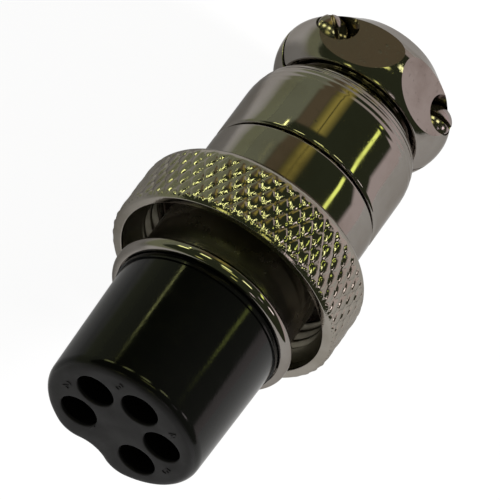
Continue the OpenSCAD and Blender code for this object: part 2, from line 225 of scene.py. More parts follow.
def mesh_object(name: str, points: list, faces: list) -> bpy.types.Object:
    """Make a mesh object from points and faces as they are.

    Args:
        name: Name of the object and its mesh.
        points: Points in metres.
        faces: Indices of each face's points.

    Returns:
        The object, linked to the scene.
    """
    mesh = bpy.data.meshes.new(name)
    mesh.from_pydata(points, [], faces)
    return link_object(name, mesh)


@dataclass
class Surface:
    """Points and faces of one piece before it becomes a mesh.

    Attributes:
        points: Arrays of points in millimetres.
        faces: Lists of faces, as indices into all the points so far.
    """

    points: list[np.ndarray] = field(default_factory=list)
    faces: list[list[int]] = field(default_factory=list)

    def count(self) -> int:
        """Number of points so far."""
        return sum(len(block) for block in self.points)

    def add(self, points: np.ndarray, faces: np.ndarray) -> None:
        """Add points of shape (n, 3), and faces of shape (m, k) as indices into them."""
        self.faces += (faces + self.count()).tolist()
        self.points.append(points)

    def add_grid(self, points: np.ndarray, rows_closed: bool = False, columns_closed: bool = True) -> None:
        """Add points of shape (rows, columns, 3) with quads between neighbours, open or closed each way."""
        rows, columns = points.shape[:2]
        self.add(points.reshape(-1, 3), grid_faces(rows, columns, rows_closed, columns_closed))

    def add_turned(self, profile: np.ndarray, columns: int, closed: bool) -> None:
        """Add an open or closed profile of points (x, r) that is turned round the axis."""
        points = turned_points(profile[:, :1], profile[:, 1:], full_circle(columns)[None, :])
        self.add_grid(points, rows_closed=closed)

    def add_capped(self, points: np.ndarray) -> None:
        """Add a tube that a face closes at each end.

        Args:
            points: Points of shape (rows, columns, 3), with each row round the tube.
        """
        rows, columns = points.shape[:2]
        first = self.count()
        last = first + (rows - 1) * columns
        self.add_grid(points)
        self.faces.append(list(range(first, first + columns)))
        self.faces.append(list(range(last, last + columns)))

    def to_object(self, name: str, merge: float = 1e-7) -> bpy.types.Object:
        """Make a mesh object in metres, with doubles merged and faces pointing outwards.

        Args:
            name: Name of the object and its mesh.
            merge: Distance in metres within which points become one.

        Returns:
            The new object, linked to the scene.
        """
        made = mesh_object(name, (np.concatenate(self.points) * MM).tolist(), self.faces)
        work = bmesh.new()
        work.from_mesh(made.data)
        bmesh.ops.remove_doubles(work, verts=work.verts, dist=merge)
        bmesh.ops.recalc_face_normals(work, faces=work.faces)
        work.to_mesh(made.data)
        work.free()
        return made


def turned_object(name: str, profile: np.ndarray) -> bpy.types.Object:
    """Make a solid of revolution from a closed section.

    Args:
        name: Name of the object and its mesh.
        profile: Points of shape (n, 2), each x and r.

    Returns:
        The object.
    """
    surface = Surface()
    surface.add_turned(dense_profile(profile, TURNED_FACE), TURNED_COLUMNS, closed=True)
    return surface.to_object(name)


def take_triangles(mesh: bpy.types.Mesh) -> tuple[np.ndarray, np.ndarray]:
    """Take the points and triangles out of a mesh, and remove it.

    Args:
        mesh: The mesh.

    Returns:
        Points of shape (n, 3) and triangles of shape (m, 3).
    """
    points = np.empty(3 * len(mesh.vertices))
    mesh.vertices.foreach_get("co", points)
    mesh.calc_loop_triangles()
    triangles = np.empty(3 * len(mesh.loop_triangles), dtype=np.int32)
    mesh.loop_triangles.foreach_get("vertices", triangles)
    bpy.data.meshes.remove(mesh)
    return points.reshape(-1, 3), triangles.reshape(-1, 3)


def plate_with_holes(loops: list[np.ndarray], x: float) -> tuple[np.ndarray, np.ndarray]:
    """Fill a flat face that lies across the axis and has holes.

    Every point is joined to the next one of its loop, and triangles fill the room between the loops.

    Args:
        loops: Outlines of shape (n, 2), each y and z: the outer one and the holes.
        x: Station of the face.

    Returns:
        Points of shape (n, 3) and triangles of shape (m, 3).
    """
    flat = np.concatenate(loops)
    points = np.column_stack([np.full(len(flat), x), flat])
    sizes = np.array([len(loop) for loop in loops])
    first = np.repeat(np.cumsum(sizes) - sizes, sizes)
    index = np.arange(len(flat))
    following = first + (index - first + 1) % np.repeat(sizes, sizes)
    mesh = bpy.data.meshes.new("plate")
    mesh.from_pydata(points.tolist(), np.stack([index, following], axis=1).tolist(), [])
    work = bmesh.new()
    work.from_mesh(mesh)
    bmesh.ops.triangle_fill(work, use_beauty=True, edges=work.edges[:], normal=(1.0, 0.0, 0.0))
    work.to_mesh(mesh)
    work.free()
    return take_triangles(mesh)


def bake_modifiers(target: bpy.types.Object) -> None:
    """Replace a piece's mesh by the result of its modifiers.

    Args:
        target: The piece.
    """
    graph = bpy.context.evaluated_depsgraph_get()
    result = bpy.data.meshes.new_from_object(target.evaluated_get(graph))
    result.name = target.data.name
    target.modifiers.clear()
    target.data = result


def cut(target: bpy.types.Object, cutters: list[bpy.types.Object]) -> None:
    """Take cutters away from a piece and remove them.

    Args:
        target: The piece, whose mesh is replaced by the result.
        cutters: Closed pieces to take away.
    """
    for cutter in cutters:
        step = target.modifiers.new("cut", "BOOLEAN")
        step.operation = "DIFFERENCE"
        step.solver = "EXACT"
        step.object = cutter
    bake_modifiers(target)
    for cutter in cutters:
        bpy.data.objects.remove(cutter)


def smooth_shading(target: bpy.types.Object, sharp_deg: float) -> None:
    """Shade a piece smooth, apart from edges that turn by more than an angle.

    Args:
        target: The piece.
        sharp_deg: Smallest angle of an edge that stays sharp.
    """
    mesh = target.data
    mesh.polygons.foreach_set("use_smooth", np.ones(len(mesh.polygons), dtype=bool))
    mesh.set_sharp_from_angle(angle=math.radians(sharp_deg))
    mesh.update()


def soften_edges(target: bpy.types.Object, width: float, sharp_deg: float, segments: int = 3) -> None:
    """Round a piece's sharp edges, and shade it so that its flat places stay flat.

    Args:
        target: The piece.
        width: Width of the rounding in millimetres.
        sharp_deg: Edges that turn by more than this are rounded.
        segments: Faces across the rounding.
    """
    step = target.modifiers.new("soften", "BEVEL")
    step.width = width * MM
    step.segments = segments
    step.limit_method = "ANGLE"
    step.angle_limit = math.radians(sharp_deg)
    bake_modifiers(target)
    smooth_shading(target, SOFTENED_SHARP_DEG)
    weigh = target.modifiers.new("weigh", "WEIGHTED_NORMAL")
    weigh.keep_sharp = True
    bake_modifiers(target)


def rod_cutter(name: str, centre: Pair, radius: float, low: float, high: float) -> bpy.types.Object:
    """Make an upright round cutter.

    Args:
        name: Name of the cutter.
        centre: x and y of its axis.
        radius: Radius.
        low: Height of its lower end.
        high: Height of its upper end.

    Returns:
        The cutter.
    """
    angle = full_circle(ROD_COLUMNS)
    x = centre[0] + radius * np.cos(angle)
    y = centre[1] + radius * np.sin(angle)
    surface = Surface()
    surface.add_capped(np.stack([np.stack([x, y, np.full_like(x, end)], axis=1) for end in (low, high)]))
    return surface.to_object(name)


def block_cutter(name: str, floor: Vector, along: Vector, out: Vector, size: Vector) -> bpy.types.Object:
    """Make a straight block that stands on a floor.

    Args:
        name: Name of the cutter.
        floor: Middle of the block's floor.
        along: Unit direction of the block's length.
        out: Unit direction from the floor outwards.
        size: Length, width and height.

    Returns:
        The cutter.
    """
    halves = np.array([[-0.5, -0.5], [0.5, -0.5], [0.5, 0.5], [-0.5, 0.5]])
    length = size.x * np.array(along)
    width = size.y * np.array(out.cross(along))
    lower = np.array(floor) + halves[:, :1] * length + halves[:, 1:] * width
    surface = Surface()
    surface.add_capped(np.stack([lower, lower + size.z * np.array(out)]))
    return surface.to_object(name)


def dress(piece: bpy.types.Object, finish: bpy.types.Material, body: Body, slot: Slot, *nodes: str) -> None:
    """Give a piece its finish and body, and put it in place of CAD nodes.

    Args:
        piece: The piece.
        finish: Its material.
        body: The body that it moves with.
        slot: The record's material slot; not used.
        nodes: CAD nodes that it stands for.
    """
    piece.data.materials.clear()
    piece.data.materials.append(finish)
    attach(piece, body.value)
    if nodes:
        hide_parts(*nodes)
    LOG.info("%s: %d faces on %s", piece.name, len(piece.data.polygons), body.value)


class MixKind(Enum):
    """What a mix node mixes: its data type, the place of its first input and the place of its output."""

    VALUE = ("FLOAT", 2, 0)
    COLOUR = ("RGBA", 6, 2)


@dataclass(frozen=True)
class NodeDesk:
    """Adds and joins shader nodes of one material or world.

    Attributes:
        tree: The node tree.
    """

    tree: bpy.types.NodeTree

    def feed(self, target: Socket, value: Feed) -> None:
        """Link an input to an output, or set it to a colour or a number.

        Args:
            target: The input.
            value: The output, colour or number.
        """
        if isinstance(value, Socket):
            self.tree.links.new(value, target)
        elif isinstance(value, tuple):
            target.default_value = (*value, 1.0)
        else:
            target.default_value = value

    def add(
        self, kind: str, feeds: dict[str | int, Feed] | None = None, **settings: object
    ) -> bpy.types.Node:
        """Add a node.

        Args:
            kind: Type of the node.
            feeds: What its inputs get, by their names or places.
            settings: Attributes to set on it.

        Returns:
            The node.
        """
        node = self.tree.nodes.new(kind)
        for key, value in settings.items():
            setattr(node, key, value)
        for key, value in (feeds or {}).items():
            self.feed(node.inputs[key], value)
        return node

    def object_coords(self) -> Socket:
        """Coordinates of the piece itself, in metres."""
        return self.add("ShaderNodeTexCoord").outputs["Object"]

    def split(self, vector: Socket) -> bpy.types.bpy_prop_collection:
        """Outputs X, Y and Z of a vector that is taken apart."""
        return self.add("ShaderNodeSeparateXYZ", {"Vector": vector}).outputs

    def noise(self, coords: Socket, scale: float, detail: float) -> Socket:
        """Noise from 0 to 1 on coordinates, with a scale and a number of finer layers."""
        feeds = {"Vector": coords, "Scale": scale, "Detail": detail, "Roughness": NOISE_ROUGHNESS}
        return self.add("ShaderNodeTexNoise", feeds).outputs["Fac"]

    def spread(
        self, value: Socket, low: float, high: float, to_low: float = 0.0, to_high: float = 1.0
    ) -> Socket:
        """Map a value from the range low to high onto another range, held at the ends."""
        feeds = {"Value": value, "From Min": low, "From Max": high, "To Min": to_low, "To Max": to_high}
        return self.add("ShaderNodeMapRange", feeds, clamp=True).outputs["Result"]

    def calculate(self, operation: str, *values: Socket | float) -> Socket:
        """Result of a named operation on values in order."""
        return self.add("ShaderNodeMath", dict(enumerate(values)), operation=operation).outputs["Value"]

    def distance(self, value: Socket, middle: float) -> Socket:
        """Distance of a value from a middle."""
        return self.calculate("ABSOLUTE", self.calculate("SUBTRACT", value, middle))

    def mix(self, kind: MixKind, share: Socket, first: Feed, second: Feed) -> Socket:
        """Mix two values or two colours.

        Args:
            kind: What is mixed.
            share: Share of the second.
            first: Result at 0.
            second: Result at 1.

        Returns:
            The mixture.
        """
        data_type, place, result = kind.value
        feeds = {0: share, place: first, place + 1: second}
        return self.add("ShaderNodeMix", feeds, data_type=data_type).outputs[result]

    def bump(
        self, shader: bpy.types.Node, height: Socket, tallest: float, strength: float, invert: bool = False
    ) -> None:
        """Give a shader a bumpy surface.

        Args:
            shader: The shader.
            height: Height of the bumps, from 0 to 1.
            tallest: Height at 1, in millimetres.
            strength: Strength of the bumps.
            invert: Whether the bumps are pits.
        """
        feeds = {"Height": height, "Distance": tallest * MM, "Strength": strength}
        bumps = self.add("ShaderNodeBump", feeds, invert=invert)
        self.feed(shader.inputs["Normal"], bumps.outputs["Normal"])

    def direct_rays(self, path: bpy.types.Node) -> Socket:
        """1 for a ray from the camera, also through clear pieces, and 0 for another."""
        return self.calculate("MAXIMUM", path.outputs["Is Camera Ray"], path.outputs["Is Transmission Ray"])

    def show_mixed(self, output: str, share: Socket, first: Socket, second: Socket) -> None:
        """Send two shaders to an output node, mixed by the share of the second."""
        mixed = self.add("ShaderNodeMixShader", {"Fac": share, 1: first, 2: second})
        self.feed(self.tree.nodes[output].inputs["Surface"], mixed.outputs["Shader"])


def new_material(name: str) -> tuple[bpy.types.Material, NodeDesk, bpy.types.Node]:
    """Make a material with a plain shader.

    Args:
        name: Name of the material.

    Returns:
        The material, the desk for its nodes and its shader.
    """
    material = bpy.data.materials.new(name)
    material.use_nodes = True
    return material, NodeDesk(material.node_tree), material.node_tree.nodes["Principled BSDF"]


@dataclass(frozen=True)
class MetalFinish:
    """Bright plating with faint stains and pits, and with a dull stretch where it is rubbed.

    Attributes:
        name: Name of the material.
        bright: Colour of clean plating.
        stained: Colour of stained plating.
        smooth: Roughness of clean plating.
        dull: Roughness of stained plating.
        pit_height: Depth of the pits in the bump, in millimetres.
        pit_scale: Scale of the fine noise.
        pit_detail: Finer layers of the fine noise.
        pit_range: Values of the fine noise between which a pit deepens.
        pit_strength: Strength of the pits.
        stain_scale: Scale of the stains.
        stain_detail: Finer layers of the stains.
        stain_range: Values of the broad noise between which a stain darkens.
        edge: Tint at grazing view.
        rubbed: Stations between which the plating is rubbed dull.
        rubbed_rough: Least roughness of the rubbed stretch.
        rubbed_mottle: Roughness that stains add to the rubbed stretch.
        rubbed_fade: Half width of the rubbed stretch's soft ends.
    """

    name: str
    bright: Colour
    stained: Colour
    smooth: float
    dull: float
    pit_height: float = 0.006
    pit_scale: float = 2600.0
    pit_detail: float = 3.0
    pit_range: Pair = (0.66, 0.8)
    pit_strength: float = 0.6
    stain_scale: float = 220.0
    stain_detail: float = 6.0
    stain_range: Pair = (0.46, 0.68)
    edge: Colour = (0.62, 0.6, 0.58)
    rubbed: Pair = (0.0, 0.0)
    rubbed_rough: float = 0.2
    rubbed_mottle: float = 0.2
    rubbed_fade: float = 0.05

    def make(self) -> bpy.types.Material:
        """Make the material: stains from broad noise, pits from fine noise, both on Object coordinates.

        Returns:
            The material.
        """
        material, desk, shader = new_material(self.name)
        desk.feed(shader.inputs["Metallic"], 1.0)
        desk.feed(shader.inputs["Specular Tint"], self.edge)
        coords = desk.object_coords()
        stains = desk.spread(desk.noise(coords, self.stain_scale, self.stain_detail), *self.stain_range)
        desk.feed(shader.inputs["Base Color"], desk.mix(MixKind.COLOUR, stains, self.bright, self.stained))
        rough = desk.spread(stains, 0.0, 1.0, self.smooth, self.dull)
        start, end = self.rubbed
        if end > start:
            half = 0.5 * (end - start)
            apart = desk.distance(desk.split(coords)["X"], 0.5 * (start + end) * MM)
            inside = desk.spread(apart, (half + self.rubbed_fade) * MM, (half - self.rubbed_fade) * MM)
            worn = desk.spread(stains, 0.0, 1.0, self.rubbed_rough, self.rubbed_rough + self.rubbed_mottle)
            rough = desk.mix(MixKind.VALUE, inside, rough, worn)
        desk.feed(shader.inputs["Roughness"], rough)
        pits = desk.spread(desk.noise(coords, self.pit_scale, self.pit_detail), *self.pit_range)
        desk.bump(shader, pits, self.pit_height, self.pit_strength, invert=True)
        return material


@dataclass(frozen=True)
class MouldingFinish:
    """Black moulding: glossy on its sides, with a duller grey mating face.

    Attributes:
        name: Name of the material.
        side: Colour of the sides.
        face: Colour of the mating face.
        side_rough: Least roughness of the sides.
        face_rough: Middle roughness of the mating face.
        face_depth: Depth at which the face's finish has faded, in millimetres.
        face_whole: Share of that depth where the fading starts.
        mirror: Strength of the moulding's own reflection.
        cloud_scale: Scale of the cloudy noise in the gloss.
        cloud_detail: Finer layers of the cloudy noise.
        cloud_range: Values of the cloudy noise between which the gloss changes.
        side_mottle: Roughness that the clouds add to the sides.
        face_mottle: Roughness that the clouds add to the face or take from it.
        grain_scale: Scale of the grain.
        grain_detail: Finer layers of the grain.
        grain_height: Height of the grain, in millimetres.
        grain_strength: Strength of the grain.
    """

    name: str
    side: Colour
    face: Colour
    side_rough: float
    face_rough: float
    face_depth: float
    face_whole: float = 0.2
    mirror: float = 0.25
    cloud_scale: float = 700.0
    cloud_detail: float = 5.0
    cloud_range: Pair = (0.3, 0.7)
    side_mottle: float = 0.1
    face_mottle: float = 0.06
    grain_scale: float = 4200.0
    grain_detail: float = 2.0
    grain_height: float = 0.01
    grain_strength: float = 0.35

    def make(self) -> bpy.types.Material:
        """Make the material: the finish follows the x coordinate, and fine noise gives it a grain.

        Returns:
            The material.
        """
        material, desk, shader = new_material(self.name)
        desk.feed(shader.inputs["Specular IOR Level"], self.mirror)
        coords = desk.object_coords()
        depth = self.face_depth * MM
        on_face = desk.spread(desk.split(coords)["X"], self.face_whole * depth, depth, 1.0, 0.0)
        desk.feed(shader.inputs["Base Color"], desk.mix(MixKind.COLOUR, on_face, self.side, self.face))
        cloud = desk.noise(coords, self.cloud_scale, self.cloud_detail)
        side = desk.spread(cloud, *self.cloud_range, self.side_rough, self.side_rough + self.side_mottle)
        dullest = self.face_rough + self.face_mottle
        face = desk.spread(cloud, *self.cloud_range, self.face_rough - self.face_mottle, dullest)
        desk.feed(shader.inputs["Roughness"], desk.mix(MixKind.VALUE, on_face, side, face))
        grain = desk.noise(coords, self.grain_scale, self.grain_detail)
        desk.bump(shader, grain, self.grain_height, self.grain_strength)
        return material


@dataclass(frozen=True)
class Finishes:
    """All finishes of the part.

    Attributes:
        nickel: Rear shell.
        sleeve: Front sleeve, with its neck rubbed by the ring.
        ring: Outside of the coupling ring.
        mouth: Inside of the coupling ring.
        clamp: Both halves of the clamp.
        steel: Screws and retaining ring.
        contact: Contacts.
        moulding: Insert and its numbers.
    """

    nickel: bpy.types.Material
    sleeve: bpy.types.Material
    ring: bpy.types.Material
    mouth: bpy.types.Material
    clamp: bpy.types.Material
    steel: bpy.types.Material
    contact: bpy.types.Material
    moulding: bpy.types.Material

    @classmethod
    def make(cls) -> "Finishes":
        """Make every material.

        Returns:
            The materials by use.
        """
        nickel = MetalFinish(
            "bright_nickel", (0.36, 0.335, 0.31), (0.31, 0.28, 0.25), smooth=0.06, dull=0.14)
        looks = {
            "nickel": nickel,
            "sleeve": replace(nickel, name="sleeve_nickel", rubbed=(12.2, 19.4)),
            "ring": MetalFinish(
                "knurled_nickel", (0.42, 0.39, 0.345), (0.34, 0.31, 0.265), smooth=0.05, dull=0.12,
                pit_height=0.005, pit_scale=6500.0, pit_range=(0.3, 0.75)),
            "mouth": MetalFinish(
                "dark_thread_nickel", (0.4, 0.38, 0.3), (0.26, 0.24, 0.19), smooth=0.3, dull=0.45),
            "clamp": MetalFinish(
                "clamp_nickel", (0.36, 0.335, 0.31), (0.31, 0.275, 0.25), smooth=0.08, dull=0.18,
                pit_height=0.008, pit_range=(0.62, 0.78)),
            "steel": MetalFinish(
                "plated_screw_steel", (0.4, 0.35, 0.34), (0.3, 0.25, 0.24), smooth=0.14, dull=0.28),
            "contact": MetalFinish(
                "plated_contact_brass", (0.5, 0.4, 0.22), (0.3, 0.23, 0.12), smooth=0.25, dull=0.4),
            "moulding": MouldingFinish(
                "black_phenolic", (0.004, 0.004, 0.0036), (0.019, 0.018, 0.019), side_rough=0.06,
                face_rough=0.55, face_depth=0.35),
        }
        return cls(**{use: look.make() for use, look in looks.items()})


@dataclass
class InsertMoulding:
    """Round black insert with a key groove and five contact holes.

    Attributes:
        nose_len: Length of the nose ahead of the sleeve.
        front_r: Radius of the nose at the face.
        root_r: Radius of the nose at its root.
        foot_r: Radius of the foot.
        foot_len: Length of the foot ahead of the sleeve.
        seat_x: Station where the foot ends inside the sleeve.
        body_r: Radius of the body inside the sleeve.
        rear_x: Station of the rear face.
        edge_r: Rounding of the face's edge.
        key_r: Radius of the key groove's bottom.
        key_centre: Distance of the groove's centre from the axis.
        key_lip: Rounding of the groove's lips.
        contact_count: Number of contact holes.
        contact_circle_r: Radius of the circle that the holes are on.
        contact_step: Angle between neighbouring holes in degrees.
        entry_r: Radius of the entry holes.
        entry_depth: Depth of the entry holes.
        seat_r: Radius of the bores behind the entry holes.
        entry_lip: Rounding of the holes' edges.
        outer_spans: Faces along the outline's round part.
        bend_spans: Faces along the groove's bottom and along each lip.
        edge_spans: Faces across the rounding of the face's edge.
        entry_spans: Faces across the rounding of a hole's edge.
        hole_columns: Faces round a hole.
        merge: Distance in metres within which points become one.
        sharp_deg: Smallest angle of an edge that stays sharp.
    """

    nose_len: float = 11.0
    front_r: float = 6.33
    root_r: float = 6.58
    foot_r: float = 6.7
    foot_len: float = 0.45
    seat_x: float = 11.5
    body_r: float = 5.8
    rear_x: float = 24.4
    edge_r: float = 0.85
    key_r: float = 1.9
    key_centre: float = 6.98
    key_lip: float = 2.2
    contact_count: int = 5
    contact_circle_r: float = 3.45
    contact_step: float = 64.0
    entry_r: float = 1.5
    entry_depth: float = 2.2
    seat_r: float = 1.3
    entry_lip: float = 0.12
    outer_spans: int = 160
    bend_spans: int = 16
    edge_spans: int = 8
    entry_spans: int = 5
    hole_columns: int = 64
    merge: float = 2e-6
    sharp_deg: float = 35.0

    def outline(self, radius: np.ndarray, inset: np.ndarray) -> np.ndarray:
        """Cross-sections with the key groove.

        The outline is the circle of the given radius, two lips and the groove. Each lip is a circle that
        touches the outline from inside and the groove from outside, so its centre is found from the three
        distances between the axis, the groove's centre and itself. An inset moves the whole outline inwards:
        the outer circle and the lips shrink by it, and the groove grows by it.

        Args:
            radius: Radii of shape (n, 1) before the inset.
            inset: Insets of shape (n, 1).

        Returns:
            Points of shape (n, m, 2), each y and z.
        """
        reach = radius - self.key_lip
        span = self.key_r + self.key_lip
        lip_turn = np.arccos((reach**2 + self.key_centre**2 - span**2) / (2.0 * reach * self.key_centre))
        lip_across = reach * np.sin(lip_turn)
        lip_down = reach * np.cos(lip_turn)
        groove_turn = np.arctan2(lip_across, self.key_centre - lip_down)
        share = np.linspace(0.0, 1.0, self.bend_spans + 1)[None, :]
        around = np.linspace(0.0, 1.0, self.outer_spans + 1)[None, :]
        outer_turn = lip_turn + (FULL_TURN - 2.0 * lip_turn) * around
        outer = (radius - inset)[..., None] * np.stack([np.sin(outer_turn), np.cos(outer_turn)], axis=-1)
        groove = groove_turn * (2.0 * share - 1.0)
        bottom_across = (self.key_r + inset) * np.sin(groove)
        bottom_down = self.key_centre - (self.key_r + inset) * np.cos(groove)
        bottom = np.stack([bottom_across, bottom_down], axis=-1)
        lip_start = np.stack([lip_across, lip_down], axis=-1)
        toward_groove = np.stack([-np.sin(groove_turn), np.cos(groove_turn)], axis=-1)
        toward_rim = np.stack([np.sin(lip_turn), np.cos(lip_turn)], axis=-1)
        swing = np.arccos(np.clip(np.sum(toward_groove * toward_rim, axis=-1), -1.0, 1.0))
        first = np.sin((1.0 - share) * swing)[..., None] * toward_groove
        second = np.sin(share * swing)[..., None] * toward_rim
        direction = (first + second) / np.sin(swing)[..., None]
        lip = lip_start + (self.key_lip - inset)[..., None] * direction
        mirrored = lip[:, ::-1] * np.array([-1.0, 1.0])
        loop = np.concatenate([outer, mirrored[:, 1:], bottom[:, 1:-1], lip[:, :-1]], axis=1)
        return loop * np.array([1.0, -1.0])

    def sections(self) -> tuple[np.ndarray, np.ndarray]:
        """Cross-sections from the mating face to the rear face.

        Returns:
            Stations of shape (n,) and loops of shape (n, m, 2), each y and z.
        """
        turn = np.linspace(0.0, QUARTER_TURN, self.edge_spans + 1)[:, None]
        edge_x = self.edge_r * (1.0 - np.sin(turn))
        edge_inset = self.edge_r * (1.0 - np.cos(turn))
        foot_x = self.nose_len - self.foot_len
        nose_x = np.concatenate([edge_x[::-1], [[foot_x], [foot_x], [self.nose_len]]])
        inset = np.concatenate([edge_inset[::-1], np.zeros((3, 1))])
        root = [[self.root_r], [self.foot_r], [self.foot_r]]
        nose = self.outline(np.concatenate([np.full_like(edge_x, self.front_r), root]), inset)
        plain = nose[-1] / np.linalg.norm(nose[-1], axis=1, keepdims=True)
        tail_x = np.array([self.nose_len, self.seat_x, self.seat_x, self.rear_x])
        tail_r = np.array([self.foot_r, self.foot_r, self.body_r, self.body_r])[:, None, None]
        return np.concatenate([nose_x[:, 0], tail_x]), np.concatenate([nose, tail_r * plain[None]])

    def contact_centres(self) -> np.ndarray:
        """Places of the holes.

        Returns:
            Points of shape (n, 2), each y and z: the middle hole stands opposite the key groove.
        """
        index = np.arange(self.contact_count) - (self.contact_count - 1) / 2.0
        angle = np.radians(index * self.contact_step)
        return self.contact_circle_r * np.stack([-np.sin(angle), np.cos(angle)], axis=1)

    def build(self) -> bpy.types.Object:
        """Make the insert: a carried outline for the nose, turned holes and two flat faces with holes.

        Returns:
            The insert.
        """
        surface = Surface()
        x, loops = self.sections()
        surface.add_grid(across_axis(x, loops))
        around = full_circle(self.hole_columns)
        circle = np.stack([np.cos(around), np.sin(around)], axis=1)
        turn = np.linspace(0.0, QUARTER_TURN, self.entry_spans + 1)
        hole_x = np.concatenate([
            self.entry_lip * (1.0 - np.cos(turn)),
            [self.entry_depth, self.entry_depth, self.rear_x],
        ])
        hole_r = np.concatenate([
            self.entry_r + self.entry_lip * (1.0 - np.sin(turn)),
            [self.entry_r, self.seat_r, self.seat_r],
        ])
        holes = [centre + hole_r[:, None, None] * circle[None] for centre in self.contact_centres()]
        for hole in holes:
            surface.add_grid(across_axis(hole_x, hole))
        surface.add(*plate_with_holes([loops[0], *[hole[0] for hole in holes]], 0.0))
        surface.add(*plate_with_holes([loops[-1], *[hole[-1] for hole in holes]], self.rear_x))
        made = surface.to_object("insert_moulding", self.merge)
        smooth_shading(made, self.sharp_deg)
        return made

    def make(self, finishes: Finishes) -> None:
        """Build the insert and dress it."""
        dress(self.build(), finishes.moulding, Body.CONNECTOR, Slot.MOULDING, "contact_insert")


@dataclass
class FaceNumerals:
    """Small raised contact numbers on the mating face.

    Attributes:
        places: Angle from the top in degrees and distance from the axis of each number, in order.
        height: Height of the figures.
        relief: How far they stand out of the face.
        sharp_deg: Smallest angle of an edge that stays sharp.
    """

    places: tuple[Pair, ...] = ((157.0, 2.9), (93.0, 4.75), (28.0, 4.75), (-37.0, 4.75), (-97.0, 4.75))
    height: float = 1.15
    relief: float = 0.06
    sharp_deg: float = 30.0

    def figure(self, number: int) -> tuple[np.ndarray, np.ndarray]:
        """Make one figure in its own plane.

        Args:
            number: The number.

        Returns:
            Points of shape (n, 3) and triangles of shape (m, 3).
        """
        curve = bpy.data.curves.new(f"figure_{number}", "FONT")
        curve.body = str(number)
        curve.size = self.height
        curve.align_x = "CENTER"
        curve.align_y = "CENTER"
        curve.extrude = self.relief
        writing = link_object(curve.name, curve)
        graph = bpy.context.evaluated_depsgraph_get()
        mesh = bpy.data.meshes.new_from_object(writing.evaluated_get(graph))
        bpy.data.objects.remove(writing)
        return take_triangles(mesh)

    def build(self) -> bpy.types.Object:
        """Make the numbers as one mesh: the figures' right is -Y and their top is +Z.

        Returns:
            The numbers.
        """
        surface = Surface()
        for number, (angle_deg, reach) in enumerate(self.places, start=1):
            points, triangles = self.figure(number)
            angle = math.radians(angle_deg)
            placed = np.stack([
                -points[:, 2],
                reach * math.sin(angle) - points[:, 0],
                reach * math.cos(angle) + points[:, 1],
            ], axis=1)
            surface.add(placed, triangles)
        made = surface.to_object("face_numbers")
        smooth_shading(made, self.sharp_deg)
        return made

    def make(self, finishes: Finishes) -> None:
        """Build the numbers and dress them."""
        dress(self.build(), finishes.moulding, Body.CONNECTOR, Slot.MOULDING)


@dataclass
class FrontSleeve:
    """Turned sleeve: bead, neck, plain band and spigot.

    Attributes:
        front_x: Station of the bead's front.
        bead_r: Radius of the bead.
        bead_w: Width of the bead.
        bead_edge: Rounding of the bead.
        bead_root: Rounding between the bead and the neck.
        neck_r: Radius of the neck.
        neck_root: Rounding between the neck and the band.
        band_x: Station of the band's front.
        band_r: Radius of the band.
        band_end: Station of the band's rear.
        edge_r: Rounding of the band's edges.
        spigot_r: Radius of the spigot.
        spigot_root: Rounding between the band and the spigot.
        spigot_end: Station of the spigot's end.
        spigot_edge: Rounding of the spigot's edges.
        spigot_bore: Radius of the spigot's bore.
        bore: Radius of the sleeve's bore.
        seat_r: Radius of the seat for the insert's foot.
        seat_x: Station of the seat's floor.
        seat_edge: Rounding of the seat's edge.
        lock_x: Station of the lock screw.
        lock_r: Radius of the lock screw's hole.
        sharp_deg: Smallest angle of an edge that stays sharp.
    """

    front_x: float = 11.0
    bead_r: float = 7.4
    bead_w: float = 1.1
    bead_edge: float = 0.48
    bead_root: float = 0.15
    neck_r: float = 6.45
    neck_root: float = 0.1
    band_x: float = 19.5
    band_r: float = 6.92
    band_end: float = 24.5
    edge_r: float = 0.24
    spigot_r: float = 6.25
    spigot_root: float = 0.05
    spigot_end: float = 27.9
    spigot_edge: float = 0.1
    spigot_bore: float = 5.45
    bore: float = 5.86
    seat_r: float = 6.76
    seat_x: float = 11.5
    seat_edge: float = 0.05
    lock_x: float = 22.0
    lock_r: float = 1.05
    sharp_deg: float = 32.0

    def profile(self) -> np.ndarray:
        """Closed section of the sleeve with its rounded edges.

        Returns:
            Points of shape (n, 2), each x and r.
        """
        bead_rear = self.front_x + self.bead_w
        return rounded_profile([
            Corner(self.front_x, self.seat_r, self.seat_edge),
            Corner(self.front_x, self.bead_r, self.bead_edge),
            Corner(bead_rear, self.bead_r, self.bead_edge),
            Corner(bead_rear, self.neck_r, self.bead_root),
            Corner(self.band_x, self.neck_r, self.neck_root),
            Corner(self.band_x, self.band_r, self.edge_r),
            Corner(self.band_end, self.band_r, self.edge_r),
            Corner(self.band_end, self.spigot_r, self.spigot_root),
            Corner(self.spigot_end, self.spigot_r, self.spigot_edge),
            Corner(self.spigot_end, self.spigot_bore, self.spigot_edge),
            Corner(self.band_end, self.spigot_bore),
            Corner(self.band_end, self.bore),
            Corner(self.seat_x, self.bore),
            Corner(self.seat_x, self.seat_r),
        ])

    def build(self) -> bpy.types.Object:
        """Make the sleeve and drill the lock screw's hole.

        Returns:
            The sleeve.
        """
        made = turned_object("nickel_sleeve", self.profile())
        cut(made, [rod_cutter("lock_hole", (self.lock_x, 0.0), self.lock_r, -2.0 * self.band_r, 0.0)])
        smooth_shading(made, self.sharp_deg)
        return made

    def make(self, finishes: Finishes) -> None:
        """Build the sleeve and dress it."""
        dress(self.build(), finishes.sleeve, Body.CONNECTOR, Slot.NICKEL, "front_sleeve")


